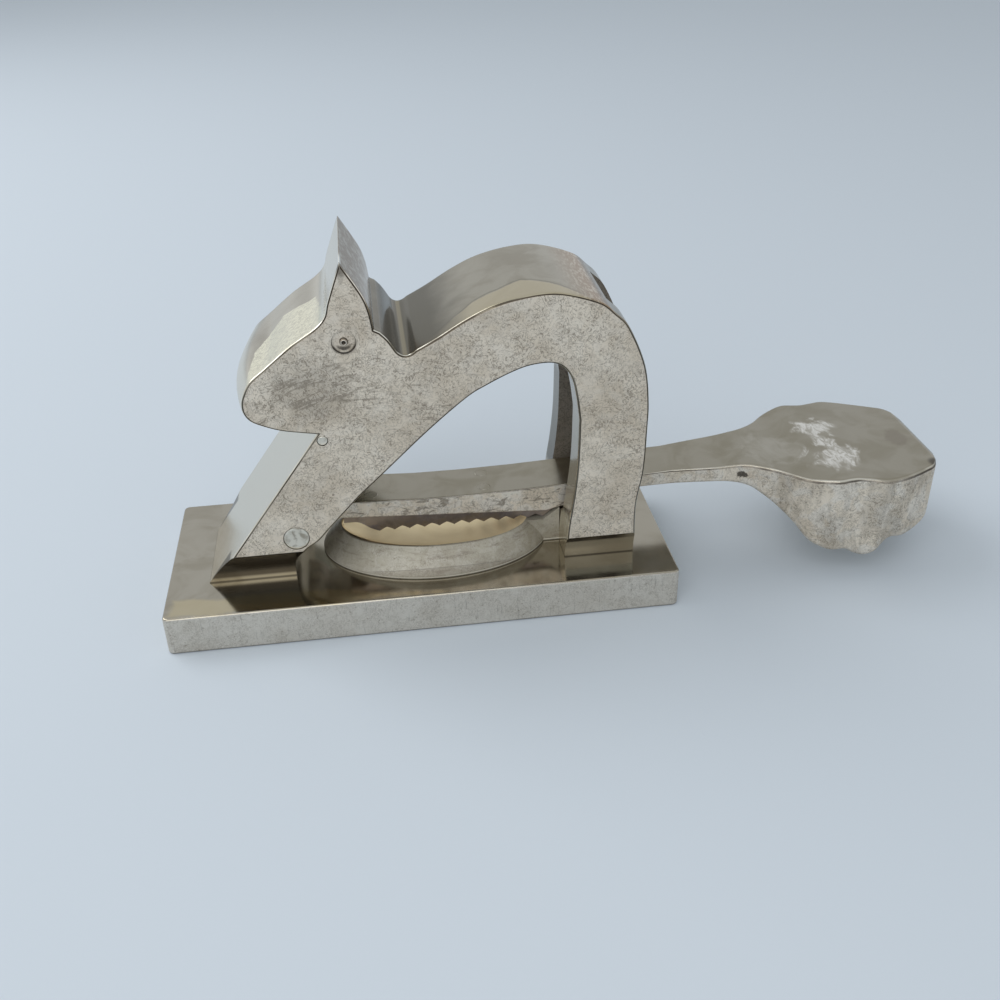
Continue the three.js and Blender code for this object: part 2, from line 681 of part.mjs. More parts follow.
// Finishes
const nickel = new THREE.MeshStandardMaterial({ color: 0xb9b3a6, roughness: 0.32, metalness: 1 });
const polished = new THREE.MeshStandardMaterial({ color: 0xa89f8e, roughness: 0.12, metalness: 1 });
const darkNickel = new THREE.MeshStandardMaterial({ color: 0x7d756a, roughness: 0.25, metalness: 1 });
const steel = new THREE.MeshStandardMaterial({ color: 0x8f9092, roughness: 0.4, metalness: 1 });

const nutcracker = new THREE.Group();
const lever = new THREE.Group();
nutcracker.add(lever);

function place(group, name, geometry, material) {
  const mesh = new THREE.Mesh(geometry, material);
  mesh.name = name;
  group.add(mesh);
}

place(nutcracker, 'base_plate', basePlate(), polished);
place(nutcracker, 'squirrel_body', squirrelBody(), nickel);
place(nutcracker, 'lower_jaw', lowerJaw(), nickel);
place(nutcracker, 'pivot_pin', crossRod(PIVOT_PIN_RADIUS, BODY_WIDTH, pivot), steel);
const throatPin = crossRod(THROAT_PIN_RADIUS, BODY_WIDTH, onBody(THROAT_PIN_SHARE), FINE_SIDES);
place(nutcracker, 'throat_pin', throatPin, steel);
place(nutcracker, 'eye_stud_left', eyeStud(1, EYE_STUD_RADIUS), darkNickel);
place(nutcracker, 'eye_stud_right', eyeStud(-1, EYE_STUD_RADIUS), darkNickel);
for (const [name, x, y] of SCREW_PLACES) {
  place(nutcracker, name, screw(x, y), steel);
}

place(lever, 'tail_lever', tailLever(), nickel);
place(lever, 'upper_jaw', upperJaw(), darkNickel);
['front', 'rear'].forEach((row, i) => {
  place(lever, `jaw_rivet_${row}_left`, rivet(rivetPlaces[i], RIVET_SPACING / 2), steel);
  place(lever, `jaw_rivet_${row}_right`, rivet(rivetPlaces[i], -RIVET_SPACING / 2), steel);
});

export default nutcracker;
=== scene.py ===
"""Lever nutcracker press: the dressed model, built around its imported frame.

Sizes are in millimetres in the fields of each class, and meshes are made in metres.
"""

import functools
import logging
import math
from dataclasses import dataclass
from enum import Enum
from itertools import pairwise
from typing import Any, Callable, Sequence

import bpy
from mathutils import Matrix, Vector


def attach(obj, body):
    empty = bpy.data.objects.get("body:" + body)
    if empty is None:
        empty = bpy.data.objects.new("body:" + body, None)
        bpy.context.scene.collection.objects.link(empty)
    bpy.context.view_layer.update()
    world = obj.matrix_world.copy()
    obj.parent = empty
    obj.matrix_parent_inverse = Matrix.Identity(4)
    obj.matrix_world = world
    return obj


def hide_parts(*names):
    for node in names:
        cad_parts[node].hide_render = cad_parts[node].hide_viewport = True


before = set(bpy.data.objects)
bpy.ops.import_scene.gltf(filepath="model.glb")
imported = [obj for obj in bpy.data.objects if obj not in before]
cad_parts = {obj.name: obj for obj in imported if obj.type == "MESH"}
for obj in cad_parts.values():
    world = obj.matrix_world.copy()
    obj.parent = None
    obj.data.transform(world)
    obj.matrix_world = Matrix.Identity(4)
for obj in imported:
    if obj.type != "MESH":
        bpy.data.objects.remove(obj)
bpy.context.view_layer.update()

LOG = logging.getLogger("nutcracker")
MM = 0.001
NOISE_ROUGHNESS = 0.55

Point = tuple[float, float]
Line = tuple[Point, ...]
Spot = tuple[Point, Point]
Triple = tuple[float, float, float]
Colour = Triple
Piece = bpy.types.Object
Finish = bpy.types.Material


class Body(Enum):
    """The two rigid bodies that pieces ride on."""

    STAND = "stand"
    LEVER = "lever"


class Slot(Enum):
    """The material slots, by name."""

    BASE = "base_nickel"
    BODY = "body_nickel"
    LEVER = "lever_nickel"
    JAW = "jaw_nickel"
    PIN = "pin_steel"
    SCREW = "screw_steel"


class Side(Enum):
    """The two sides of the press, as the sign of Y."""

    LEFT = 1
    RIGHT = -1


# ---- Shader sums ----


def math_method(operation: str, reflected: bool = False) -> Callable[["Signal", Any], "Signal"]:
    """Makes a method of Signal that adds one Math node.

    Args:
        operation: The node's operation.
        reflected: Whether the other value comes first.

    Returns:
        The method.
    """
    def work_out(self: "Signal", other: Any) -> "Signal":
        """Works the operation out with a number or a signal."""
        return self.tree.math(operation, *((other, self) if reflected else (self, other)))
    return work_out


class Signal:
    """A node socket that takes part in Python sums."""

    __add__ = __radd__ = math_method("ADD")
    __sub__ = math_method("SUBTRACT")
    __rsub__ = math_method("SUBTRACT", reflected=True)
    __mul__ = __rmul__ = math_method("MULTIPLY")
    __truediv__ = math_method("DIVIDE")
    __pow__ = math_method("POWER")
    at_most = math_method("MINIMUM")
    at_least = math_method("MAXIMUM")

    def __init__(self, tree: "NodeTree", socket: Any) -> None:
        """Keeps the socket and the tree that new Math nodes go into."""
        self.tree, self.socket = tree, socket

    def __abs__(self) -> "Signal":
        """The size without the sign."""
        return self.tree.math("ABSOLUTE", self)


class NodeTree:
    """The emptied node tree of a material or a world."""

    def __init__(self, owner: Any) -> None:
        """Empties the owner's tree.

        Args:
            owner: The material or the world.
        """
        owner.use_nodes = True
        self.nodes, self.links = owner.node_tree.nodes, owner.node_tree.links
        self.nodes.clear()

    def node(self, kind: str, settings: dict | None = None, inputs: dict | None = None) -> Any:
        """Adds one node.

        Args:
            kind: The node's type.
            settings: Properties that are set before its sockets are filled.
            inputs: Values, signals or sockets by the input's name or number.

        Returns:
            The new node.
        """
        made = self.nodes.new(kind)
        for key, value in (settings or {}).items():
            setattr(made, key, value)
        for key, value in (inputs or {}).items():
            self.feed(made.inputs[key], value)
        return made

    def feed(self, socket: Any, value: Any) -> None:
        """Gives an input socket a link or a constant.

        Args:
            socket: The input.
            value: A signal, an output socket, a number or a colour.
        """
        value = getattr(value, "socket", value)
        if isinstance(value, bpy.types.NodeSocket):
            self.links.new(value, socket)
        else:
            is_colour = socket.type == "RGBA" and len(value) == 3
            socket.default_value = (*value, 1) if is_colour else value

    def math(self, operation: str, *values: Any) -> Signal:
        """Adds a Math node and returns its result."""
        made = self.node("ShaderNodeMath", {"operation": operation}, dict(enumerate(values)))
        return Signal(self, made.outputs[0])

    def vector(self, operation: str, inputs: dict) -> Any:
        """Adds a Vector Math node and returns its first output."""
        return self.node("ShaderNodeVectorMath", {"operation": operation}, inputs).outputs[0]


class FinishTree(NodeTree):
    """The node tree of one finish, with its coordinates in millimetres."""

    def __init__(self, name: str) -> None:
        """Starts a material with a metal shader and its output.

        Args:
            name: The material's name.
        """
        self.material = bpy.data.materials.new(name)
        super().__init__(self.material)
        self.shader = self.node("ShaderNodeBsdfPrincipled")
        self.node("ShaderNodeOutputMaterial", {}, {"Surface": self.shader.outputs[0]})
        coordinates = self.node("ShaderNodeTexCoord").outputs
        self.place = self.vector("SCALE", {0: coordinates["Object"], "Scale": 1 / MM})
        self.x, self.y, self.z = self.split(self.place)
        self.facing_x, self.facing_y, self.facing_z = self.split(coordinates["Normal"])

    def split(self, vector: Any) -> list[Signal]:
        """The three parts of a vector."""
        parts = self.node("ShaderNodeSeparateXYZ", {}, {0: vector}).outputs
        return [Signal(self, part) for part in parts]

    def set(self, **values: Any) -> None:
        """Feeds the shader's inputs, by their names with _ for a blank."""
        for name, value in values.items():
            self.feed(self.shader.inputs[name.replace("_", " ")], value)

    def rise(self, value: Any, low: float, high: float) -> Signal:
        """A soft step.

        Args:
            value: The signal that is measured.
            low: Where the step leaves 0.
            high: Where the step reaches 1.

        Returns:
            A signal from 0 to 1.
        """
        made = self.node(
            "ShaderNodeMapRange", {"interpolation_type": "SMOOTHSTEP"},
            {0: value, 1: low, 2: high, 3: 0.0, 4: 1.0},
        )
        return Signal(self, made.outputs[0])

    def fall(self, value: Any, low: float, high: float) -> Signal:
        """A soft step down, from 1 below the low value to 0 above the high one."""
        return 1 - self.rise(value, low, high)

    def band(self, value: Any, low: float, high: float, soft: float) -> Signal:
        """1 between two values and 0 beyond them, with soft ends.

        Args:
            value: The value that is judged.
            low: Where the band starts.
            high: Where it ends.
            soft: Half the length of each end.

        Returns:
            The share, from 0 to 1.
        """
        return self.rise(value, low - soft, low + soft) * self.fall(
            value, high - soft, high + soft
        )

    def clouds(self, low: float, high: float, *noise: Any) -> Signal:
        """Soft patches, where noise passes from a low value to a high one."""
        return self.rise(self.noise(*noise), low, high)

    def waver(self, reach: float, *noise: Any) -> Signal:
        """Noise to both sides of 0, which makes an outline ragged."""
        return (self.noise(*noise) - 0.5) * reach

    def worms(self, size: float, width: float, warp: float = 1.8,
              stretch: Triple = (1, 1, 1), at: Any = None) -> Signal:
        """Thin winding lines.

        Args:
            size: Width of the loops in millimetres.
            width: Width of a line as a share of the loops.
            warp: How far they are drawn out of shape.
            stretch: How much longer the loops are along each axis.
            at: Coordinates other than the piece's own.

        Returns:
            1 along the lines and 0 between them.
        """
        away = abs(self.noise(size, 2, warp, stretch, at) - 0.5)
        return (1 - away / (width / 2)).at_least(0)

    def inside(self, corners: Sequence[Point]) -> Signal:
        """How far a place lies inside a convex outline in plan.

        Args:
            corners: The outline's corners, anticlockwise.

        Returns:
            Millimetres to the nearest side, below 0 outside.
        """
        sides = []
        for (x0, y0), (x1, y1) in zip(corners, [*corners[1:], corners[0]]):
            length = math.dist((x0, y0), (x1, y1))
            sides.append(
                (self.y - y0) * ((x1 - x0) / length) - (self.x - x0) * ((y1 - y0) / length)
            )
        return functools.reduce(Signal.at_most, sides)

    def distance(self, centre: Point, halves: Point = (1, 1), plan: bool = False) -> Signal:
        """How far a place is from the middle of an oval.

        Args:
            centre: The middle, in the side view or in plan.
            halves: The oval's half sizes in millimetres.
            plan: Whether the oval lies in plan.

        Returns:
            0 in the middle and 1 at the outline.
        """
        (x, up), (half_x, half_up) = centre, halves
        rise = (self.y if plan else self.z) - up
        return (((self.x - x) / half_x) ** 2 + (rise / half_up) ** 2) ** 0.5

    def spot(self, centre: Point, halves: Point, plan: bool = False) -> Signal:
        """An oval spot: 1 in its middle, 0 at its outline and less beyond."""
        return 1 - self.distance(centre, halves, plan)

    def noise(self, size: float, detail: float = 3, warp: float = 0,
              stretch: Triple = (1, 1, 1), at: Any = None) -> Signal:
        """Cloudy noise in the piece's own millimetres.

        Args:
            size: Width of one cloud in millimetres.
            detail: Number of finer layers.
            warp: How far the clouds are drawn out of shape.
            stretch: How much longer the clouds are along each axis.
            at: Coordinates other than the piece's own.

        Returns:
            A signal round 0.5.
        """
        scale = tuple(1 / (size * share) for share in stretch)
        moved = self.vector("MULTIPLY", {0: self.place if at is None else at, 1: scale})
        made = self.node("ShaderNodeTexNoise", {}, {
            "Vector": moved, "Scale": 1.0, "Detail": detail, "Roughness": NOISE_ROUGHNESS,
            "Distortion": warp,
        })
        return Signal(self, made.outputs["Fac"])

    def blend(self, share: Any, first: Any, second: Any) -> Any:
        """Mixes two colours and returns the colour socket."""
        inputs = {0: share, 6: first, 7: second}
        return self.node("ShaderNodeMix", {"data_type": "RGBA"}, inputs).outputs[2]

    def over(self, tone: Any, *layers: tuple[Any, Any]) -> Any:
        """Lays colours over a tone in turn, each by its own share.

        Args:
            tone: The colour beneath.
            layers: Pairs of a share and a colour.

        Returns:
            The socket of the colour.
        """
        for share, colour in layers:
            tone = self.blend(share, tone, colour)
        return tone

    def bump(self, height: Signal, distance: float, strength: float) -> None:
        """Feeds the shader's normal from a height.

        Args:
            height: The relief.
            distance: Depth of the relief in millimetres.
            strength: How much of it shows.
        """
        inputs = {"Strength": strength, "Distance": distance * MM, "Height": height}
        self.set(Normal=self.node("ShaderNodeBump", {}, inputs).outputs[0])


def linear(*screen: int) -> Colour:
    """A screen colour, above its darkest 4 in 100, as the linear values that shaders use."""
    return tuple(((value / 255 + 0.055) / 1.055) ** 2.4 for value in screen)


@dataclass(frozen=True)
class NickelFinish:
    """Nickel plate: polished on the ground faces and mottled on the cast ones."""

    name: str
    polish: Colour = linear(160, 154, 139)
    tarnish: Colour = linear(140, 132, 115)
    frost: Colour = linear(224, 221, 214)
    matte: Colour = linear(224, 214, 198)
    warm: Colour = linear(207, 195, 177)
    stain: Colour = linear(128, 119, 106)
    # The next two colours are the dark tone of dirt, painted shade and dark reflection lines, and
    # the tone of painted highlights.
    line: Colour = linear(62, 56, 49)
    painted_highlight: Colour = linear(246, 243, 232)
    polish_rough: float = 0.16
    matte_rough: float = 0.5
    matte_metal: float = 0.6
    worm_size: float = 2
    worm_share: float = 0.7
    fine_share: float = 0.4
    speck_share: float = 0.35
    grain_share: float = 0.3
    pale_share: float = 0.16
    most_dirt: float = 0.85

    def matte_share(self, tree: FinishTree) -> Signal:
        """Where the surface is matte, from 0 to 1."""
        raise NotImplementedError

    def shade_and_dirt_share(self, tree: FinishTree) -> Signal:
        """Where painted shade, dark reflection lines and dirt darken the surface."""
        raise NotImplementedError

    def painted_highlight_share(self, tree: FinishTree) -> Any:
        """Where a highlight is painted."""
        return 0.0

    def marks(self, tree: FinishTree) -> Any:
        """Further marks in the matte faces."""
        return 0.0

    def polished_tone(self, tree: FinishTree) -> Any:
        """Colour of the polished faces: cloudy tarnish."""
        clouds = tree.clouds(0.38, 0.68, 11, 3, 0.8)
        return tree.blend(clouds * 0.8, self.polish, self.tarnish)

    def make(self) -> Finish:
        """Builds the material.

        Returns:
            A metal with mottled stains, pits, worn patches, painted highlights and painted shade.
        """
        tree = FinishTree(self.name)
        matte_share = self.matte_share(tree)
        grain = tree.noise(0.3, 2)
        patches = tree.clouds(0.36, 0.66, 16, 2, 0.5)
        pale = tree.clouds(0.44, 0.6, 5, 3, 0.9)
        worms = tree.worms(self.worm_size, 0.1) * tree.clouds(0.2, 0.56, 6, 2, 0.5)
        fine = tree.worms(self.worm_size / 2, 0.13) * tree.clouds(0.34, 0.56, 3, 2)
        specks = tree.clouds(0.66, 0.74, 0.8, 1)
        dirt = worms * self.worm_share + fine * self.fine_share + specks * self.speck_share
        dirt = dirt + self.marks(tree) + (grain - 0.5) * self.grain_share
        cast = tree.over(
            self.matte, (patches, self.warm), (pale * self.pale_share, self.frost),
            (dirt.at_least(0).at_most(self.most_dirt), self.stain),
        )
        tone = tree.over(
            self.polished_tone(tree), (matte_share, cast),
            # Painted highlights, then painted shade together with dirt, are laid over the tone.
            (self.painted_highlight_share(tree), self.painted_highlight),
            (self.shade_and_dirt_share(tree).at_most(1), self.line),
        )
        haze = tree.noise(7, 3, 1.0)
        shine = haze * 0.08 + self.polish_rough
        rough = worms * 0.1 + self.matte_rough + (grain - 0.5) * 0.25
        tree.set(
            Base_Color=tone,
            Metallic=1 - matte_share * (1 - self.matte_metal),
            Roughness=shine + (rough - shine) * matte_share,
        )
        relief = (grain * 0.5 - worms * 0.5 - specks * 0.7) * matte_share + haze * 0.12
        tree.bump(relief, 0.08, 0.3)
        return tree.material


@dataclass(frozen=True)
class BodyNickel(NickelFinish):
    """The squirrel: matte side faces, polished edges and hollows, dull slot walls, with painted
    highlights, shade and reflections.
    """

    side: float = 18.2
    slot_half: float = 10
    slot_front: float = 36
    reflection_corners: Line = (
        (-40.2, -18.6), (-19, -18.6), (-21.6, 2.2), (-30.7, 6.5), (-38.3, -3.8),
    )
    band_corners: Line = (
        (-2, -19.5), (46, -19.5), (38, -12.8), (28.9, -7.6), (15.9, -11.3),
    )
    ear_foot: float = 85
    ear_tip: Point = (-14.7, 99.5)
    eye: Point = (-15.45, 80.81)
    inner_ring: Point = (1.5, 1.6)
    inner_crescent: Point = (1.2, 2.1)
    outer_crescent: Point = (2.55, 3.05)
    stud_edge: Point = (0.8, 1.05)
    outer_ring: Point = (3.15, 3.3)
    ring_fade: Point = (-1.6, 0.6)
    cheek_spot: Spot = ((-24, 69), (15, 11))
    drag_centre: Point = (-5.4, 5.9)
    drag_radius: float = 65
    drag_size: float = 2.2
    drag_stretch: Triple = (1, 8, 1)
    neck_reach: Point = (48, 72)
    neck_end: Point = (4, 16)
    top_rise: Point = (68, 70)
    rim_rise: Point = (70, 78)
    reflection_rise: Point = (66, 69)
    back_rise: Point = (70, 74)
    back_span: Point = (4, 27)
    prong_start: Point = (30, 34)
    prong_foot: Point = (22, 26)
    middle: Point = (-2, 2)
    cove_start: Point = (30, 36)
    cove_end: Point = (18, 20)
    notch_fade: Point = (5, 17)
    ear_smudge: Point = (2.2, 5)
    ear_near: Point = (-15, -10)
    shin_near: Point = (-15, -13)
    shin_span: Point = (15, 27)
    highlight_fade: Point = (6, 22)
    # Where the painted shade in the fore foot's cove lies.
    hollow_span: Point = (13, 18.6)
    hollow_front: float = -27
    # Colour of the painted reflection on the forehead.
    painted_reflection: Colour = linear(240, 235, 210)
    gold: Colour = linear(188, 176, 146)
    # pale is also the tone of the painted light on forward faces.
    pale: Colour = linear(222, 215, 199)
    shade: Colour = linear(84, 78, 62)
    strip: Colour = linear(158, 147, 120)
    ear: Colour = linear(143, 121, 95)
    notch_x: float = -1.1
    notch_half: float = 2
    foot_z: float = 11.3
    cove_front: float = -24
    cove_top: float = 21

    def _slot_share(self, tree: FinishTree) -> Signal:
        """Where the walls of the hind leg's slot are.

        Args:
            tree: The finish's node tree.

        Returns:
            The share, from 0 to 1.
        """
        walls = tree.rise(abs(tree.facing_y), 0.7, 0.9)
        inner = tree.fall(abs(tree.y), self.slot_half + 0.2, self.slot_half + 0.6)
        return walls * inner * tree.rise(tree.x, self.slot_front - 1, self.slot_front)

    def matte_share(self, tree: FinishTree) -> Signal:
        """The two side faces, and the dull walls of the slot.

        Args:
            tree: The finish's node tree.

        Returns:
            The share, from 0 to 1.
        """
        flat = tree.rise(abs(tree.facing_y), 0.93, 0.985)
        sides = flat * tree.rise(abs(tree.y), self.side - 0.3, self.side)
        return sides.at_least(self._slot_share(tree))

    def marks(self, tree: FinishTree) -> Signal:
        """Long arcs dragged over the cheek and the neck, and rings round the eye.

        Args:
            tree: The finish's node tree.

        Returns:
            The dirt that they add, from 0 to 1.
        """
        x, z = tree.x - self.drag_centre[0], tree.z - self.drag_centre[1]
        reach = (x * x + z * z) ** 0.5
        turn = tree.math("ARCTAN2", z, x) * self.drag_radius
        arcs = tree.node("ShaderNodeCombineXYZ", {}, {0: reach, 1: turn, 2: tree.y}).outputs[0]
        lines = tree.worms(self.drag_size, 0.1, 0.3, self.drag_stretch, arcs)
        lines = lines * tree.clouds(0.42, 0.6, 9, 2)
        neck = tree.band(reach, *self.neck_reach, 4) * tree.fall(tree.x, *self.neck_end)
        ring = tree.distance(self.eye)
        rings = tree.band(ring, *self.inner_ring, 0.12) * 0.5
        rings = rings + tree.band(ring, *self.outer_ring, 0.15) * 0.35
        rings = rings * (tree.rise(self.eye[1] - tree.z, *self.ring_fade) * 0.85 + 0.15)
        cheek = tree.spot(*self.cheek_spot) + tree.waver(1, 6, 3)
        return lines * neck * 0.5 + rings + tree.rise(cheek, 0, 0.7) * 0.3

    def polished_tone(self, tree: FinishTree) -> Any:
        """Tarnish, a gold band along the near edge, painted light and shade on forward faces,
        painted shade in the notch, the ear, a paler hind cove and a painted reflection on the
        forehead.

        Args:
            tree: The finish's node tree.

        Returns:
            The socket of the colour.
        """
        band = tree.inside(self.band_corners) + tree.waver(3, 9, 3, 0.6)
        gold = tree.rise(band, 0, 0.8) * tree.rise(tree.facing_z, 0.1, 0.3)
        # Painted dark reflection line along the rim of the gold band, high on the back.
        rim = tree.band(band, -0.5, 0.1, 0.25) * tree.rise(tree.z, *self.rim_rise)
        prong = tree.rise(tree.x, *self.prong_start) * tree.rise(tree.z, *self.prong_foot)
        prong = prong * (tree.rise(tree.y, *self.middle) * 0.45 + 0.5)
        away = abs(tree.x - self.notch_x - self.notch_half) + tree.waver(5, 7, 2)
        top = tree.rise(tree.z, *self.top_rise)
        strip = tree.band(tree.x, self.notch_x - 0.5, self.notch_x + 0.6, 0.25)
        ear = tree.rise(tree.z, self.ear_foot - 2, self.ear_foot)
        scratches = tree.clouds(0.46, 0.64, 0.7, 3, 0.3, (1, 3, 9))
        cove = tree.rise(tree.x, *self.cove_start) * tree.fall(tree.z, *self.cove_end)
        painted_reflection = tree.inside(self.reflection_corners) + tree.waver(1.4, 3, 3)
        mottle = tree.clouds(0.42, 0.6, 1.1, 3, 1.2) * 0.4
        return tree.over(
            super().polished_tone(tree),
            (gold * 0.7, self.gold),
            (rim * 0.45, self.shade),
            # Painted light on the faces that look forward, and painted shade on the hind leg's
            # prongs there, darkest on the far prong.
            (self._forward(tree, 0.4, 0.85), tree.blend(prong, self.pale, self.shade)),
            # Painted shade in the notch behind the head.
            (tree.fall(away, *self.notch_fade) * top * 0.95, self.shade),
            (strip * top * 0.55, self.strip),
            (ear * tree.rise(tree.facing_x, 0.2, 0.4),
             tree.blend(scratches * 0.42, self.ear, self.pale)),
            (cove * 0.32, self.pale),
            # Painted reflection: a pale patch on the forehead.
            (tree.rise(painted_reflection, 0, 0.5) * tree.rise(tree.z, *self.reflection_rise) * (1 - mottle),
             self.painted_reflection),
        )

    def _forward(self, tree: FinishTree, low: float, high: float) -> Signal:
        """Where faces look forward."""
        return tree.rise(0 - tree.facing_x, low, high)

    def _edge(self, tree: FinishTree, low: float, high: float, soft: float) -> Signal:
        """A line in the rounding beside the side faces, by how far it has turned.

        Args:
            tree: The finish's node tree.
            low: Where the line starts.
            high: Where it ends.
            soft: How soft its sides are.

        Returns:
            The share, from 0 to 1.
        """
        return tree.band(abs(tree.facing_y), low, high, soft) * self._outside(tree)

    def _outside(self, tree: FinishTree) -> Signal:
        """The side faces and their rounded edges."""
        return tree.rise(abs(tree.y), self.side - 0.4, self.side - 0.1)

    def painted_highlight_share(self, tree: FinishTree) -> Signal:
        """Painted highlights on the inner half of the rounded edges, the ear's near corner and the
        near prong's front.

        Args:
            tree: The finish's node tree.

        Returns:
            The share, from 0 to 1.
        """
        # Painted highlights: thin lines in the rounded edges that fade towards the rear, a dot at
        # the near end of the ear's ridge, and a spot on the near prong.
        broken = tree.clouds(0.36, 0.56, 13, 2) * 0.75 + 0.15
        broken = broken * (1 - tree.rise(tree.x, *self.highlight_fade) * 0.75)
        ridge = tree.rise(tree.z, self.ear_tip[1], self.ear_tip[1] + 0.3)
        ridge = ridge * tree.fall(tree.y, *self.ear_near)
        shin = self._forward(tree, 0.5, 0.8) * tree.band(tree.z, *self.shin_span, 1.5)
        shin = shin * tree.rise(tree.x, self.slot_front - 4, self.slot_front - 2)
        shin = shin * tree.fall(tree.y, *self.shin_near) * tree.clouds(0.4, 0.5, 2, 2)
        shine = self._edge(tree, 0.3, 0.62, 0.08) * broken
        return shine.at_least(ridge).at_least(shin * 0.8)

    def shade_and_dirt_share(self, tree: FinishTree) -> Signal:
        """Painted dark reflection lines by the side faces and ear, a smudge, and painted shade in
        hollows, slot and feet.

        Args:
            tree: The finish's node tree.

        Returns:
            The share, from 0 to 1.
        """
        out = self._outside(tree)
        broken = tree.clouds(0.34, 0.58, 11, 2) * 0.45 + 0.45
        high = tree.rise(tree.z, self.ear_foot - 4, self.ear_foot)
        # Painted dark reflection line in the rounded edges, stronger round the ear.
        line = self._edge(tree, 0.72, 0.95, 0.05) * (broken + high * 0.3)
        back = tree.band(tree.x, *self.back_span, 3) * tree.rise(tree.z, *self.back_rise)
        # Painted dark reflection line along the back's near edge.
        deep = self._edge(tree, 0.42, 0.95, 0.06) * back * 0.9
        smudge = tree.spot(self.ear_tip, self.ear_smudge) + tree.waver(1, 2, 3)
        # Painted shade in the fore foot's cove.
        hollow = tree.band(abs(tree.y), *self.hollow_span, 0.4)
        hollow = hollow * tree.fall(tree.x, self.hollow_front, self.cove_front)
        hollow = hollow * tree.band(tree.z, self.foot_z + 1.3, self.cove_top, 0.5)
        # Painted contact shadow where the feet stand on the base.
        foot = tree.fall(tree.z, self.foot_z + 0.15, self.foot_z + 0.55)
        eye = tree.distance(self.eye)
        below = self.eye[1] - tree.z
        # Painted shade: dark crescents under the eye's stud and a dark ring round its hole.
        inner = tree.band(eye, *self.inner_crescent, 0.2) * tree.rise(below, 0.5, 1.5)
        outer = tree.band(eye, *self.outer_crescent, 0.12) * tree.rise(below, 0.1, 1.4)
        hole = tree.band(eye, *self.stud_edge, 0.06)
        return functools.reduce(Signal.at_least, (
            line,
            tree.rise(smudge, 0.1, 0.7) * out * 0.7,
            hollow * 0.82,
            (inner * 0.86 + outer * 0.97 + hole * 0.8) * out,
            deep * (broken * 0.4 + 0.6),
            foot * 0.7,
            # Painted shade on the slot walls.
            self._slot_share(tree) * 0.66,
        ))


@dataclass(frozen=True)
class BaseNickel(NickelFinish):
    """The base: a polished top over walls with upright scratches."""

    top: float = 11.0
    rear_rise: Point = (-40, 55)
    front: Colour = linear(190, 178, 148)
    front_corners: Line = ((-69, -28), (10, -28), (-30, -21), (-67, -20))

    def matte_share(self, tree: FinishTree) -> Signal:
        """Everything below the top."""
        return tree.fall(tree.z, self.top - 0.1, self.top + 0.1)

    def polished_tone(self, tree: FinishTree) -> Any:
        """Gold along the front left edge and darker to the rear.

        Args:
            tree: The finish's node tree.

        Returns:
            The socket of the colour.
        """
        rear = tree.rise(tree.x + tree.waver(30, 20, 2), *self.rear_rise)
        gold = tree.inside(self.front_corners) + tree.waver(6, 8, 3)
        return tree.over(
            super().polished_tone(tree), (rear * 0.35, self.tarnish),
            (tree.rise(gold, -0.5, 1.5) * 0.75, self.front),
        )

    def shade_and_dirt_share(self, tree: FinishTree) -> Signal:
        """Fine upright scratches in the walls, and a painted contact shadow at their foot.

        Args:
            tree: The finish's node tree.

        Returns:
            The share, from 0 to 1.
        """
        scratches = tree.clouds(0.58, 0.72, 0.5, 2, 0, (1, 1, 12))
        walls = scratches * tree.fall(tree.z, self.top - 0.3, self.top) * 0.26
        # Painted contact shadow along the foot of the walls.
        return walls.at_least(tree.fall(tree.z, 0.2, 0.7) * 0.6)


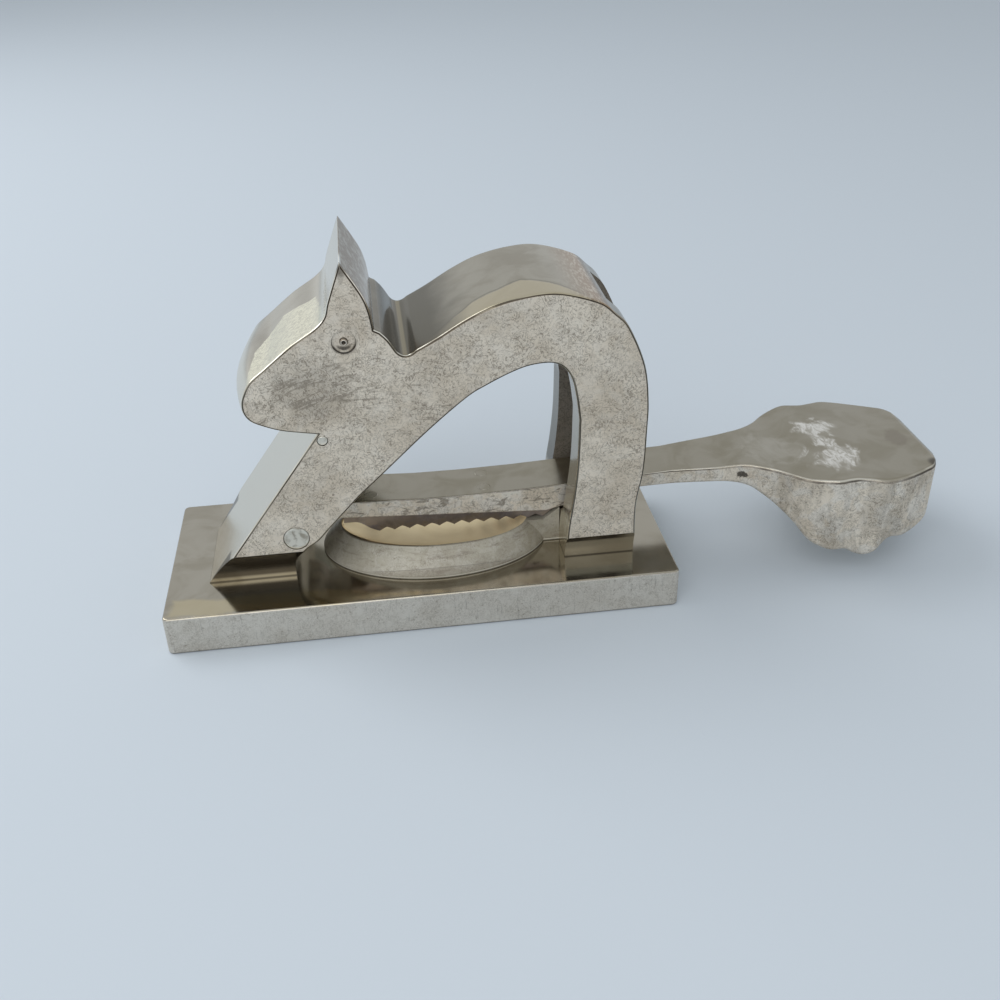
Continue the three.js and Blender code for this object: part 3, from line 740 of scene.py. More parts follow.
@dataclass(frozen=True)
class LeverNickel(NickelFinish):
    """The lever: matte sides, a satin top, and worn frost on the tail."""

    frost_spots: tuple[Spot, ...] = (
        ((118.5, 7.5), (8, 6.5)), ((117.3, -2), (4, 7)), ((117.5, -10), (9, 8)),
    )
    faint_spot: Spot = ((102, -2), (11, 11))
    smudge_spot: Spot = ((139.5, -1.2), (4.5, 7.5))
    tip_spot: Spot = ((144, -16.5), (2.6, 3))
    bar_fade: Point = (54, 62)
    tail_rise: Point = (94, 102)
    pit: Spot = ((90.9, 29), (1.5, 1.2))
    pit_spread: float = 1.6
    near_side: Point = (-8, -7)

    def matte_share(self, tree: FinishTree) -> Signal:
        """All but the upper faces."""
        return tree.fall(tree.facing_z, 0.45, 0.75)

    def marks(self, tree: FinishTree) -> Signal:
        """Dark squiggles along the bar, and upright streaks on the tail.

        Args:
            tree: The finish's node tree.

        Returns:
            The dirt that they add, from 0 to 1.
        """
        squiggles = tree.clouds(0.56, 0.62, 3, 3, 1.6, (2, 1, 0.8))
        bar = squiggles * tree.fall(tree.x, *self.bar_fade) * 0.6
        folds = tree.clouds(0.46, 0.62, 5, 3, 0.5, (1, 1, 3))
        return bar + folds * tree.rise(tree.x, *self.tail_rise) * 0.3

    def polished_tone(self, tree: FinishTree) -> Any:
        """Olive tarnish, with frosted wear and a smudge on the tail.

        Args:
            tree: The finish's node tree.

        Returns:
            The socket of the colour.
        """
        ragged = tree.waver(2.4, 6, 8, 1.4, (1, 1.6, 1))
        reach = functools.reduce(
            Signal.at_least, (tree.spot(*spot, plan=True) for spot in self.frost_spots)
        )
        flecks = tree.clouds(0.36, 0.6, 1.6, 4, 1.5, (1, 2.5, 1))
        frost = tree.rise(reach + ragged, 0.1, 0.6) * (flecks * 0.6 + 0.3)
        faint = tree.spot(*self.faint_spot, plan=True) + ragged
        smudge = tree.spot(*self.smudge_spot, plan=True) + tree.waver(1.2, 4, 3)
        tip = tree.spot(*self.tip_spot, plan=True)
        return tree.over(
            super().polished_tone(tree),
            (tree.rise(faint, 0.1, 0.9) * 0.14, self.frost),
            (frost * tree.rise(reach, -0.3, 0), self.frost),
            (tree.rise(smudge, 0.1, 0.5) * 0.6, self.stain),
            (tree.rise(tip, 0, 0.6) * 0.8, self.line),
        )

    def painted_highlight_share(self, tree: FinishTree) -> Signal:
        """A painted highlight along the upper edge, broken by clouds."""
        worn = tree.clouds(0.38, 0.58, 12, 2) * 0.5 + 0.2
        # Painted highlight in the rounded upper edge.
        return tree.band(tree.facing_z, 0.66, 0.88, 0.06) * worn * 0.6

    def shade_and_dirt_share(self, tree: FinishTree) -> Signal:
        """A painted dark reflection line along the upper edge, and one casting pit.

        Args:
            tree: The finish's node tree.

        Returns:
            The share, from 0 to 1.
        """
        # Painted dark reflection line in the rounded upper edge.
        line = tree.band(tree.facing_z, 0.2, 0.6, 0.06)
        line = line * (tree.clouds(0.35, 0.6, 9, 2) * 0.45 + 0.5)
        pit = tree.rise(tree.spot(*self.pit) + tree.waver(3, 1.5, 3), 0.3, 0.6)
        pit = pit * tree.fall(tree.y, *self.near_side)
        centre, (half_x, half_z) = self.pit
        around = tree.spot(centre, (half_x * self.pit_spread, half_z * self.pit_spread))
        around = tree.rise(around, 0, 0.3)
        return line.at_least(pit * around * 0.9)


@dataclass(frozen=True)
class BowlNickel(NickelFinish):
    """The lower jaw: a smooth tan bowl in a matte wall."""

    centre_x: float = 4.88
    bowl_halves: Point = (26.4, 15.5)
    rim_rise: Point = (17.9, 18.2)
    facet_half: float = 21
    facet_low: float = 12.1
    facet_rise: float = 1.9

    def _reach(self, tree: FinishTree) -> Signal:
        """How far out a place is, with 1 at the bowl's rim."""
        half_length, half_width = self.bowl_halves
        return ((tree.x - self.centre_x) / half_length) ** 2 + (tree.y / half_width) ** 2

    def _facet(self, tree: FinishTree) -> Signal:
        """How far a place lies under the bowed top line of the grey zone, in millimetres."""
        bow = 1 - ((tree.x - self.centre_x) / self.facet_half) ** 2
        return bow * self.facet_rise + self.facet_low - tree.z

    def matte_share(self, tree: FinishTree) -> Signal:
        """Everything outside the bowl."""
        return tree.rise(self._reach(tree), 0.99, 1.03)

    def marks(self, tree: FinishTree) -> Signal:
        """Long streaks round the wall, and a grey zone low in it.

        Args:
            tree: The finish's node tree.

        Returns:
            How much they darken the wall, from 0 to 1.
        """
        streaks = tree.clouds(0.54, 0.66, 1.2, 3, 0.6, (9, 4, 1)) * 0.35
        low = tree.rise(tree.z, self.facet_low - 0.2, self.facet_low + 0.1)
        return streaks + tree.rise(self._facet(tree), 0, 0.2) * low * 0.35

    def painted_highlight_share(self, tree: FinishTree) -> Signal:
        """A painted highlight along the edge of the foot."""
        # Painted highlight along the lower edge of the wall.
        return tree.band(tree.z, self.facet_low - 0.45, self.facet_low - 0.15, 0.08) * 0.7

    def shade_and_dirt_share(self, tree: FinishTree) -> Signal:
        """The lines round the rim and over the grey zone, and a painted contact shadow under the
        foot.

        Args:
            tree: The finish's node tree.

        Returns:
            The share, from 0 to 1.
        """
        reach, low = self._reach(tree), self.facet_low
        rim = tree.band(reach, 0.97, 1.03, 0.02) * tree.rise(tree.z, *self.rim_rise)
        top = tree.band(self._facet(tree), -0.12, 0.06, 0.06) * tree.rise(reach, 1.1, 1.2)
        top = top * tree.rise(tree.z, low + 0.2, low + 0.6)
        # Painted contact shadow where the foot stands on the base.
        foot = tree.fall(tree.z, low - 0.7, low - 0.5)
        return (rim * 0.75).at_least(top * 0.4).at_least(foot * 0.7)


@dataclass(frozen=True)
class ToothNickel(NickelFinish):
    """The toothed jaw: dark plate with brown and blue-grey tarnish."""

    bruise: Colour = linear(124, 117, 122)

    def matte_share(self, tree: FinishTree) -> Signal:
        """Half dulled all over, and more so in streaks."""
        return tree.clouds(0.5, 0.8, 5, 3, 0.6, (3, 1, 1)) * 0.2 + 0.4

    def polished_tone(self, tree: FinishTree) -> Any:
        """Brown with bruised patches."""
        bruise = tree.clouds(0.46, 0.56, 5, 3, 0.5, (2, 1, 1)) * 0.7
        return tree.blend(bruise, super().polished_tone(tree), self.bruise)

    def shade_and_dirt_share(self, tree: FinishTree) -> Signal:
        """Soot between the teeth."""
        return tree.clouds(0.55, 0.75, 2, 2) * 0.2


@dataclass(frozen=True)
class SteelFinish:
    """Turned steel of the pins, rivets and screws."""

    name: str
    tone: Colour = linear(186, 180, 168)
    stain: Colour = linear(120, 110, 92)
    # The next colour is the tone of the painted shade in a drilled middle.
    dark: Colour = linear(58, 52, 46)
    rough: float = 0.36
    hole_shade_centre: Point = (0, 0)
    hole_shade_radius: float = 0

    def make(self) -> Finish:
        """Builds the material.

        Returns:
            A metal with fine turning marks and a stain, and painted shade in a drilled middle
            where a radius is given.
        """
        tree = FinishTree(self.name)
        stain = tree.clouds(0.45, 0.7, 2.4, 3, 0.8)
        grain = tree.noise(0.3, 2)
        tone = tree.blend(stain * 0.6, self.tone, self.stain)
        # Painted shade in the drilled middle of the eye's stud.
        if self.hole_shade_radius:
            reach = tree.distance(self.hole_shade_centre)
            hollow = tree.fall(reach, self.hole_shade_radius - 0.1, self.hole_shade_radius + 0.06)
            tone = tree.blend(hollow * 0.95, tone, self.dark)
        tree.set(Base_Color=tone, Metallic=1.0, Roughness=stain * 0.15 + self.rough)
        tree.bump(grain, 0.04, 0.3)
        return tree.material


# ---- Shaping with Blender's own operators ----


def choose(*pieces: Piece) -> None:
    """Leaves only these pieces selected, the first of them active.

    Args:
        pieces: The pieces.
    """
    bpy.ops.object.select_all(action="DESELECT")
    for piece in pieces:
        piece.select_set(True)
    bpy.context.view_layer.objects.active = pieces[0]


def primitive(name: str, add: Callable[..., Any], **settings: Any) -> Piece:
    """Adds a primitive with nothing else selected.

    Args:
        name: Its name.
        add: The operator that adds it.
        settings: The operator's settings.

    Returns:
        The new piece.
    """
    bpy.ops.object.select_all(action="DESELECT")
    add(**settings)
    piece = bpy.context.object
    piece.name = name
    return piece


def block(name: str, at: Sequence[float], size: Sequence[float]) -> Piece:
    """A block from its middle and its size in millimetres.

    Args:
        name: Its name.
        at: Its middle.
        size: Its size along each axis.

    Returns:
        The new piece.
    """
    place = tuple(value * MM for value in at)
    piece = primitive(name, bpy.ops.mesh.primitive_cube_add, size=1, location=place)
    piece.scale = tuple(value * MM for value in size)
    bpy.ops.object.transform_apply(location=True, rotation=True, scale=True)
    return piece


def edit(piece: Piece, *steps: Callable[[], Any]) -> None:
    """Runs operators on all of a piece in edit mode.

    Args:
        piece: The piece.
        steps: Calls without arguments, run in order.
    """
    choose(piece)
    bpy.ops.object.mode_set(mode="EDIT")
    bpy.ops.mesh.select_all(action="SELECT")
    for step in steps:
        step()
    bpy.ops.object.mode_set(mode="OBJECT")


def tidy(piece: Piece) -> Piece:
    """Merges doubles and turns every face outwards.

    Args:
        piece: The piece.

    Returns:
        The same piece.
    """
    edit(
        piece,
        lambda: bpy.ops.mesh.remove_doubles(threshold=0.002 * MM),
        lambda: bpy.ops.mesh.normals_make_consistent(inside=False),
    )
    return piece


def finish_modifier(piece: Piece, kind: str, **settings: Any) -> None:
    """Adds a modifier with its settings and applies it.

    Args:
        piece: The piece.
        kind: The modifier's type.
        settings: Its properties.
    """
    choose(piece)
    modifier = piece.modifiers.new(kind.lower(), kind)
    for key, value in settings.items():
        setattr(modifier, key, value)
    bpy.ops.object.modifier_apply(modifier=modifier.name)


def carve(piece: Piece, *tools: Piece, operation: str = "DIFFERENCE") -> None:
    """Cuts tools out of a piece, or joins them to it, and removes the tools.

    Args:
        piece: The piece.
        tools: The tools, in order.
        operation: DIFFERENCE cuts and UNION joins.
    """
    for tool in tools:
        finish_modifier(piece, "BOOLEAN", operation=operation, solver="EXACT", object=tool)
        bpy.data.objects.remove(tool)


def round_edges(piece: Piece, width: float, segments: int, angle: float) -> None:
    """Rounds the edges that are sharper than an angle.

    Args:
        piece: The piece.
        width: Width of the rounding in millimetres.
        segments: Number of faces across it.
        angle: The angle in degrees.
    """
    finish_modifier(
        piece, "BEVEL", width=width * MM, segments=segments, limit_method="ANGLE",
        angle_limit=math.radians(angle), harden_normals=False, use_clamp_overlap=True,
    )


def round_weighted(piece: Piece, width: float, segments: int,
                   share: Callable[[Vector, Vector], float]) -> None:
    """Rounds chosen edges.

    Args:
        piece: The piece.
        width: Width of the rounding in millimetres.
        segments: Number of faces across it.
        share: Gives the share of that width for an edge's two ends.
    """
    weights = piece.data.attributes.new("bevel_weight_edge", "FLOAT", "EDGE")
    for edge in piece.data.edges:
        first, second = (piece.data.vertices[i].co for i in edge.vertices)
        weights.data[edge.index].value = share(first, second)
    finish_modifier(piece, "BEVEL", width=width * MM, segments=segments, limit_method="WEIGHT")


def smooth(piece: Piece, angle: float) -> None:
    """Shades a piece smooth up to an angle, with broad faces kept flat.

    Args:
        piece: The piece.
        angle: The angle in degrees.
    """
    choose(piece)
    bpy.ops.object.shade_smooth_by_angle(angle=math.radians(angle))
    finish_modifier(piece, "WEIGHTED_NORMAL", mode="FACE_AREA", weight=60, keep_sharp=True)


def spline(points: Sequence[Point], steps: int) -> list[Point]:
    """A smooth line through points.

    Args:
        points: The points that it passes.
        steps: Number of pieces between two points.

    Returns:
        All the points of the line, both ends among them.
    """
    last = len(points) - 1
    line: list[Point] = []
    for i in range(last):
        before, here = points[max(i - 1, 0)], points[i]
        ahead, after = points[i + 1], points[min(i + 2, last)]
        for step in range(steps):
            t = step / steps
            line.append(tuple(
                a * (-0.5 * t + t * t - 0.5 * t ** 3)
                + b * (1 - 2.5 * t * t + 1.5 * t ** 3)
                + c * (0.5 * t + 2 * t * t - 1.5 * t ** 3)
                + d * (0.5 * t ** 3 - 0.5 * t * t)
                for a, b, c, d in zip(before, here, ahead, after)
            ))
    return [*line, tuple(points[-1])]


def height_at(line: Sequence[Point], x: float) -> float:
    """Height of a line that runs along X, at one place.

    Args:
        line: Points as (x, z).
        x: The place.

    Returns:
        The height, or that of the nearest end beyond the line.
    """
    for (x0, z0), (x1, z1) in pairwise(line):
        if min(x0, x1) <= x <= max(x0, x1) and x0 != x1:
            return z0 + (z1 - z0) * (x - x0) / (x1 - x0)
    nearest = min(line, key=lambda point: abs(point[0] - x))
    return nearest[1]


def plate(name: str, outline: Sequence[Point], stations: Sequence[float]) -> Piece:
    """A plate drawn in the side view and extruded across the press.

    Args:
        name: Name of the piece.
        outline: Its corners as (x, z).
        stations: The places along Y where the extrusion has a ring of edges.

    Returns:
        The new piece.
    """
    piece = primitive(
        name, bpy.ops.mesh.primitive_circle_add, vertices=len(outline), radius=MM,
        fill_type="NGON",
    )
    for vertex, (x, z) in zip(piece.data.vertices, outline):
        vertex.co = (x * MM, stations[0] * MM, z * MM)
    edit(piece, *(
        functools.partial(
            bpy.ops.mesh.extrude_region_move,
            TRANSFORM_OT_translate={"value": (0, (ahead - here) * MM, 0)},
        )
        for here, ahead in pairwise(stations)
    ))
    return tidy(piece)


def loft(name: str, rings: Sequence[Sequence[Vector]]) -> Piece:
    """A closed skin over rings of points, each end drawn in to one point.

    Args:
        name: Name of the piece.
        rings: Rings with the same number of points, in millimetres.

    Returns:
        The new piece.
    """
    around = len(rings[0])
    piece = primitive(
        name, bpy.ops.mesh.primitive_grid_add, x_subdivisions=around,
        y_subdivisions=len(rings) - 1,
    )
    for i, vertex in enumerate(piece.data.vertices):
        row, column = divmod(i, around + 1)
        vertex.co = rings[row][column % around] * MM
    return tidy(piece)


def turned(name: str, profile: Sequence[Point], at: Vector, axis: Vector, sides: int) -> Piece:
    """A turned piece from its profile.

    Args:
        name: Name of the piece.
        profile: (radius, distance along the axis), from one end to the other.
        at: Where the axis starts, in millimetres.
        axis: Direction of the axis.
        sides: Number of sides.

    Returns:
        The new piece.
    """
    turn = axis.to_track_quat("Z", "Y").to_matrix()
    angles = [math.tau * i / sides for i in range(sides)]
    return loft(name, [
        [at + turn @ Vector((radius * math.cos(a), radius * math.sin(a), along)) for a in angles]
        for radius, along in profile
    ])


def rod(name: str, at: Vector, axis: Vector, radius: float, span: Point, sides: int) -> Piece:
    """A plain rod that spans two distances along its axis.

    Args:
        name: Its name.
        at: Where its axis starts, in millimetres.
        axis: Direction of the axis.
        radius: Its radius.
        span: The distances at which it starts and ends.
        sides: Number of sides.

    Returns:
        The new piece.
    """
    low, high = span
    profile = [(0, low), (radius, low), (radius, high), (0, high)]
    return turned(name, profile, at, axis, sides)


def settle(piece: Piece, angle: float, body: Body, slot: Slot, finish: Finish,
           node: str) -> None:
    """Shades and dresses a piece, and puts it on its body in a CAD node's stead.

    Args:
        piece: The finished shape.
        angle: Edges that are sharper than this stay sharp.
        body: What it rides on.
        slot: The slot of its finish; not used.
        finish: Its material.
        node: The CAD node that it stands for.
    """
    smooth(tidy(piece), angle)
    piece.data.materials.clear()
    piece.data.materials.append(finish)
    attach(piece, body.value)
    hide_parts(node)
    LOG.info("%s: %d faces, on %s", piece.name, len(piece.data.polygons), body.value)


ACROSS = Vector((0, 1, 0))
UP = Vector((0, 0, 1))
OVERRUN = 2  # how far cutting tools reach past a face
HOLE_SIDES = 48
SMALL_HOLE_SIDES = 40


def in_side_view(point: Point, y: float = 0) -> Vector:
    """A place from its X and Z in the side view."""
    return Vector((point[0], y, point[1]))


@dataclass
class Layout:
    """Places that several sub-assemblies share."""

    toe_x: float = -58.05
    base_top: float = 11.3
    body_length: float = 118.4
    body_height: float = 89
    fit: float = 0.3
    close_fit: float = 0.06
    bar_width: float = 15
    bar_thickness: float = 5.2
    pivot_share: Point = (0.2137, 0.173)
    pin_radius: float = 3.3
    rivet_radius: float = 1.7
    rivet_spacing: float = 7.8
    rivet_shares: Point = (0.385, 0.648)
    screw_radius: float = 2
    screw_head_radius: float = 3.9
    screw_head_height: float = 2.3
    screw_length: float = 14.6
    screw_recess: float = 0.5
    seat_shares: Spot = ((0.3, -0.4), (0.79, -1.04))
    under_shares: Line = ((0.88, -0.55), (0.96, -0.18), (1.02, -0.07))
    top_shares: Line = (
        (0.372, 0.5), (0.49, 0.36), (0.608, 0.35), (0.726, 0.41), (0.845, 0.53),
        (0.963, 0.64), (1.05, 0.74),
    )
    screw_places: tuple[tuple[str, float, float], ...] = (
        ("fore_foot_screw_left", 0.105, 10.6), ("fore_foot_screw_right", 0.105, -10.6),
        ("hind_foot_screw_left", 0.905, 10.6), ("hind_foot_screw_right", 0.905, -10.6),
        ("lower_jaw_screw_front", 0.3197, 0), ("lower_jaw_screw_rear", 0.7707, 0),
    )

    def along(self, share: float) -> float:
        """A share of the body's length as X."""
        return self.toe_x + share * self.body_length

    def on_body(self, share: Point) -> Point:
        """A share of the body as a point of the side view."""
        return self.along(share[0]), self.base_top + share[1] * self.body_height

    @property
    def pivot(self) -> Point:
        """The pivot's centre in the side view."""
        return self.on_body(self.pivot_share)

    def on_bar(self, share: Point) -> Point:
        """A share of the bar as a point of the side view."""
        return self.along(share[0]), self.pivot[1] + share[1] * self.bar_thickness

    def seat_height(self, x: float) -> float:
        """Height of the bar's straight underside."""
        (x0, z0), (x1, z1) = map(self.on_bar, self.seat_shares)
        return z0 + (z1 - z0) * (x - x0) / (x1 - x0)

    def rising_height(self, x: float) -> float:
        """Height of the bar's underside where it rises to the slot."""
        (x0, z0), (x1, z1) = self.on_bar(self.seat_shares[1]), self.on_bar(self.under_shares[0])
        return z0 + (z1 - z0) * (x - x0) / (x1 - x0)

    def bar_top(self) -> list[Point]:
        """The bar's top line, from the pivot to the rump."""
        x, z = self.pivot
        return [(x, z + self.bar_thickness / 2), *map(self.on_bar, self.top_shares)]

    def line(self, shares: Sequence[Point], steps: int) -> list[Point]:
        """A smooth line through shares of the body."""
        return spline([self.on_body(share) for share in shares], steps)

    def rivet_places(self) -> dict[str, Point]:
        """Plan places of the four rivets, by the name of their node.

        Returns:
            X and Y by the name of the node.
        """
        rows = zip(("front", "rear"), self.rivet_shares)
        return {
            f"jaw_rivet_{row}_{side.name.lower()}":
            (self.along(share), side.value * self.rivet_spacing / 2)
            for row, share in rows for side in Side
        }

    def rivet_holes(self) -> list[Piece]:
        """The close holes of the rivets, through the bar and into the toothed jaw.

        Returns:
            One tool for each rivet.
        """
        radius = self.rivet_radius + self.close_fit / 2
        return [
            rod("rivet_hole", Vector((x, y, 0)), UP, radius, (self.base_top, 2 * self.pivot[1]),
                SMALL_HOLE_SIDES)
            for x, y in self.rivet_places().values()
        ]

    def screw_holes(self, piece: str = "") -> list[Piece]:
        """The clearance holes of all the screws, or of those named for one piece.

        Args:
            piece: A word in the names of the screws that are wanted.

        Returns:
            One tool for each screw.
        """
        head, shank = self.screw_head_radius + self.fit, self.screw_radius + self.fit
        neck = self.screw_recess + self.screw_head_height
        tip = self.screw_recess + self.screw_length + self.fit
        profile = [(0, -OVERRUN), (head, -OVERRUN), (head, self.screw_recess), (shank, neck),
                   (shank, tip), (0, tip)]
        return [
            turned("screw_hole", profile, Vector((self.along(share), y, 0)), UP,
                   SMALL_HOLE_SIDES)
            for name, share, y in self.screw_places if piece in name
        ]


@dataclass
class Squirrel:
    """The cast body: hind leg, arched back, head, and the fore leg with its mortise."""

    layout: Layout
    width: float = 38
    edge: float = 0.85
    corner_edge: float = 0.3
    corner_gap: float = 0.05
    sharp_turn: float = 0.9
    nose_crown: float = 2.2
    nose_reach: float = 11.84
    steps: int = 8
    stations: tuple[float, ...] = (-19, -17, -13.5, -9, -4.5, 0, 4.5, 9, 13.5, 17, 19)
    back: Line = (
        (0.986, 0), (0.983, 0.175), (0.997, 0.302), (1, 0.435), (1, 0.529), (0.988, 0.645),
        (0.951, 0.762), (0.92, 0.808), (0.884, 0.845), (0.805, 0.877), (0.74, 0.876),
        (0.668, 0.855), (0.609, 0.82), (0.549, 0.773), (0.503, 0.741),
    )
    notch: Point = (0.481, 0.7155)
    nape: Line = ((0.465, 0.742), (0.449, 0.7775), (0.434, 0.8))
    ear: Line = ((0.4225, 0.808), (0.4165, 0.862), (0.4035, 0.912), (0.3655, 1))
    face: Line = (
        (0.353, 0.958), (0.334, 0.891), (0.325, 0.853), (0.302, 0.821), (0.251, 0.7775),
        (0.194, 0.717), (0.161, 0.68), (0.1436, 0.639), (0.139, 0.6135), (0.141, 0.59),
        (0.15, 0.5685), (0.168, 0.5517), (0.2095, 0.529), (0.256, 0.5157),
    )
    chin_and_toe: Line = ((0.285, 0.509), (0, 0))
    heel: Line = (
        (0.1985, 0), (0.2, 0.05), (0.211, 0.088), (0.232, 0.128), (0.261, 0.155),
        (0.287, 0.192),
    )
    arch: Line = (
        (0.363, 0.299), (0.417, 0.365), (0.518, 0.49), (0.603, 0.5845), (0.648, 0.62),
        (0.697, 0.651), (0.737, 0.669), (0.778, 0.674), (0.802, 0.666), (0.818, 0.647),
        (0.831, 0.615), (0.84, 0.56), (0.847, 0.49),
    )
    shin: Line = (
        (0.847, 0.49), (0.8446, 0.344), (0.837, 0.23), (0.825, 0.1135), (0.822, 0),
    )
    nose: Point = (0.139, 0.6135)
    eye: Point = (0.3598, 0.781)
    throat_pin: Point = (0.295, 0.489)
    throat_pin_radius: float = 1.3
    eye_disc: Point = (3, 0.8)
    eye_tilt: float = 9
    stud_radius: float = 0.85
    stud_length: float = 4
    stud_proud: float = 0.5
    pin_fit: Point = (0.12, 0.1)
    slot_crest: Point = (0.914, 0.8155)
    slot_start: Point = (0.69, 0.66)
    swing: float = 30
    fore_cove: Point = (11.2, 5.6)
    hind_cove: Point = (7.6, 2.4)
    cove_steps: int = 12
    eye_wall: float = 2.6
    hind_slot_width: float = 20

    def outline(self) -> list[Point]:
        """The side view, from the hind heel over the back and the head to the shin.

        Returns:
            The corners as (x, z).
        """
        lay = self.layout
        line = lay.line(self.back, self.steps)
        start, corner, end = line[-1], lay.on_body(self.notch), lay.on_body(self.nape[0])
        for i in range(1, self.steps):
            t = i / self.steps
            line.append(tuple(
                a * (1 - t) ** 2 + 2 * b * t * (1 - t) + c * t * t
                for a, b, c in zip(start, corner, end)
            ))
        line += lay.line(self.nape, 4)
        ear = lay.line(self.ear, self.steps)
        line += ear[:-5] + ear[-1:] + lay.line(self.face, self.steps)
        line += map(lay.on_body, self.chin_and_toe)
        heel = lay.line(self.heel, 5)
        line += heel[:1] + heel[2:]
        return line + lay.line(self.arch, self.steps) + lay.line(self.shin, 6)[1:]

    def _round(self, piece: Piece) -> None:
        """Rounds the long edges beside the side faces, and breaks the sharp corners.

        Args:
            piece: The body.
        """
        line = self.outline()
        sharp = [
            here for before, here, after in zip([line[-1], *line], line, [*line[1:], line[0]])
            if (Vector(here) - Vector(before)).angle(Vector(after) - Vector(here))
            > self.sharp_turn
        ]

        def share(first: Vector, second: Vector) -> float:
            """The share of the rounding's width that an edge has.

            Args:
                first: One end of the edge, in metres.
                second: Its other end.

            Returns:
                The share, from 0 to 1.
            """
            if abs(first.y - second.y) < MM / 2:
                return float(abs(first.y) > (self.width / 2 - 1) * MM)
            near = min(math.dist((first.x / MM, first.z / MM), corner) for corner in sharp)
            return self.corner_edge / self.edge if near < self.corner_gap else 0

        round_weighted(piece, self.edge, 4, share)

    def _crown_nose(self, piece: Piece) -> None:
        """Lets the muzzle swell forward between the two side faces.

        Args:
            piece: The body.
        """
        nose_x, nose_z = self.layout.on_body(self.nose)
        for vertex in piece.data.vertices:
            x, y, z = vertex.co / MM
            gap = math.hypot(x - nose_x, z - nose_z) / self.nose_reach
            swell = self.nose_crown * max(0, 1 - gap * gap) * (1 - (2 * y / self.width) ** 2)
            vertex.co.x -= swell * MM

    def _coves(self, cove: Point, from_x: float, to_x: float) -> list[Piece]:
        """Tools that hollow both sides of a foot.

        Args:
            cove: Height and depth of the hollow.
            from_x: Where it starts.
            to_x: Where it ends.

        Returns:
            One tool for each side.
        """
        height, depth = cove
        top = self.layout.base_top
        tools = []
        for side in Side:
            root, skin = self.width / 2 - depth, self.width / 2
            section = [(root, top - OVERRUN), (root, top)]
            for i in range(1, self.cove_steps + 1):
                t = i / self.cove_steps
                section.append((
                    root * (1 - t) ** 2 + 2 * root * t * (1 - t) + skin * t * t,
                    top + height * (t * (1 - t) + t * t),
                ))
            section += [(skin + OVERRUN, top + height), (skin + OVERRUN, top - OVERRUN)]
            tools.append(loft("cove", [
                [Vector((x, side.value * y, z)) for y, z in points]
                for x, points in (
                    (from_x, [(root, top)] * len(section)), (from_x, section),
                    (to_x, section), (to_x, [(root, top)] * len(section)),
                )
            ]))
        return tools

    def _swung(self, u: float, w: float) -> Point:
        """A point of the bar at the top of its swing.

        Args:
            u: Distance from the pivot along the bar.
            w: Distance above the bar's middle line.

        Returns:
            The point in the side view.
        """
        angle = math.radians(self.swing)
        x, z = self.layout.pivot
        return (
            x + u * math.cos(angle) - w * math.sin(angle),
            z + u * math.sin(angle) + w * math.cos(angle),
        )

    def _room_for_bar(self) -> list[Piece]:
        """Tools for the mortise in the fore leg and the slot in the hind leg.

        Returns:
            The tools.
        """
        lay = self.layout
        half = lay.bar_width / 2 + lay.fit
        reach = lay.bar_thickness / 2 + lay.fit
        seat_x, seat_z = lay.on_bar(lay.seat_shares[1])
        wedge = [
            (lay.pivot[0], lay.seat_height(lay.pivot[0]) - lay.fit),
            (seat_x, seat_z - lay.fit),
            self._swung(lay.body_length / 2, reach),
            self._swung(0, reach),
        ]
        floor = lay.rising_height(lay.on_body(self.shin[3])[0]) - lay.fit
        rise = self.slot_start[1] * lay.bar_thickness + lay.fit
        start = self._swung(self.slot_start[0] * lay.body_length, rise)
        crest = lay.on_body(self.slot_crest)
        outside = lay.along(1) + OVERRUN
        top = start[1] + (crest[1] - start[1]) * (outside - start[0]) / (crest[0] - start[0])
        slot = [(start[0], floor), (outside, floor), (outside, top), start]
        room = lay.pin_radius + self.eye_wall + 2 * lay.fit
        eye_room = rod("eye_room", in_side_view(lay.pivot), ACROSS, room, (-half, half),
                       HOLE_SIDES)
        slot_half = self.hind_slot_width / 2
        return [
            eye_room, plate("mortise", wedge, (-half, half)),
            plate("slot", slot, (-slot_half, slot_half)),
        ]

    def _hole(self, at: Point, radius: float) -> Piece:
        """A hole right across the body."""
        reach = self.width / 2 + 1
        return rod("hole", in_side_view(at), ACROSS, radius, (-reach, reach), HOLE_SIDES)

    def _eye_tools(self) -> list[Piece]:
        """Tools for the punched discs round the eyes and the holes of their studs.

        Returns:
            Two tools for each side.
        """
        eye = self.layout.on_body(self.eye)
        radius, depth = self.eye_disc
        profile = [(0, -depth), (radius - 0.25, -depth), (radius - 0.07, -depth + 0.07),
                   (radius, -depth + 0.25), (radius, depth), (0, depth)]
        floor = self.width / 2 + self.stud_proud - self.stud_length - self.layout.fit
        tools = []
        for side in Side:
            face = in_side_view(eye, side.value * (self.width + depth) / 2)
            tilt = Matrix.Rotation(math.radians(side.value * self.eye_tilt), 3, "X")
            out = ACROSS * side.value
            tools.append(turned("eye_disc", profile, face, tilt @ out, 56))
            tools.append(rod("stud_hole", in_side_view(eye, side.value * floor), out,
                             self.stud_radius + self.layout.close_fit,
                             (0, self.stud_length + OVERRUN), 32))
        return tools

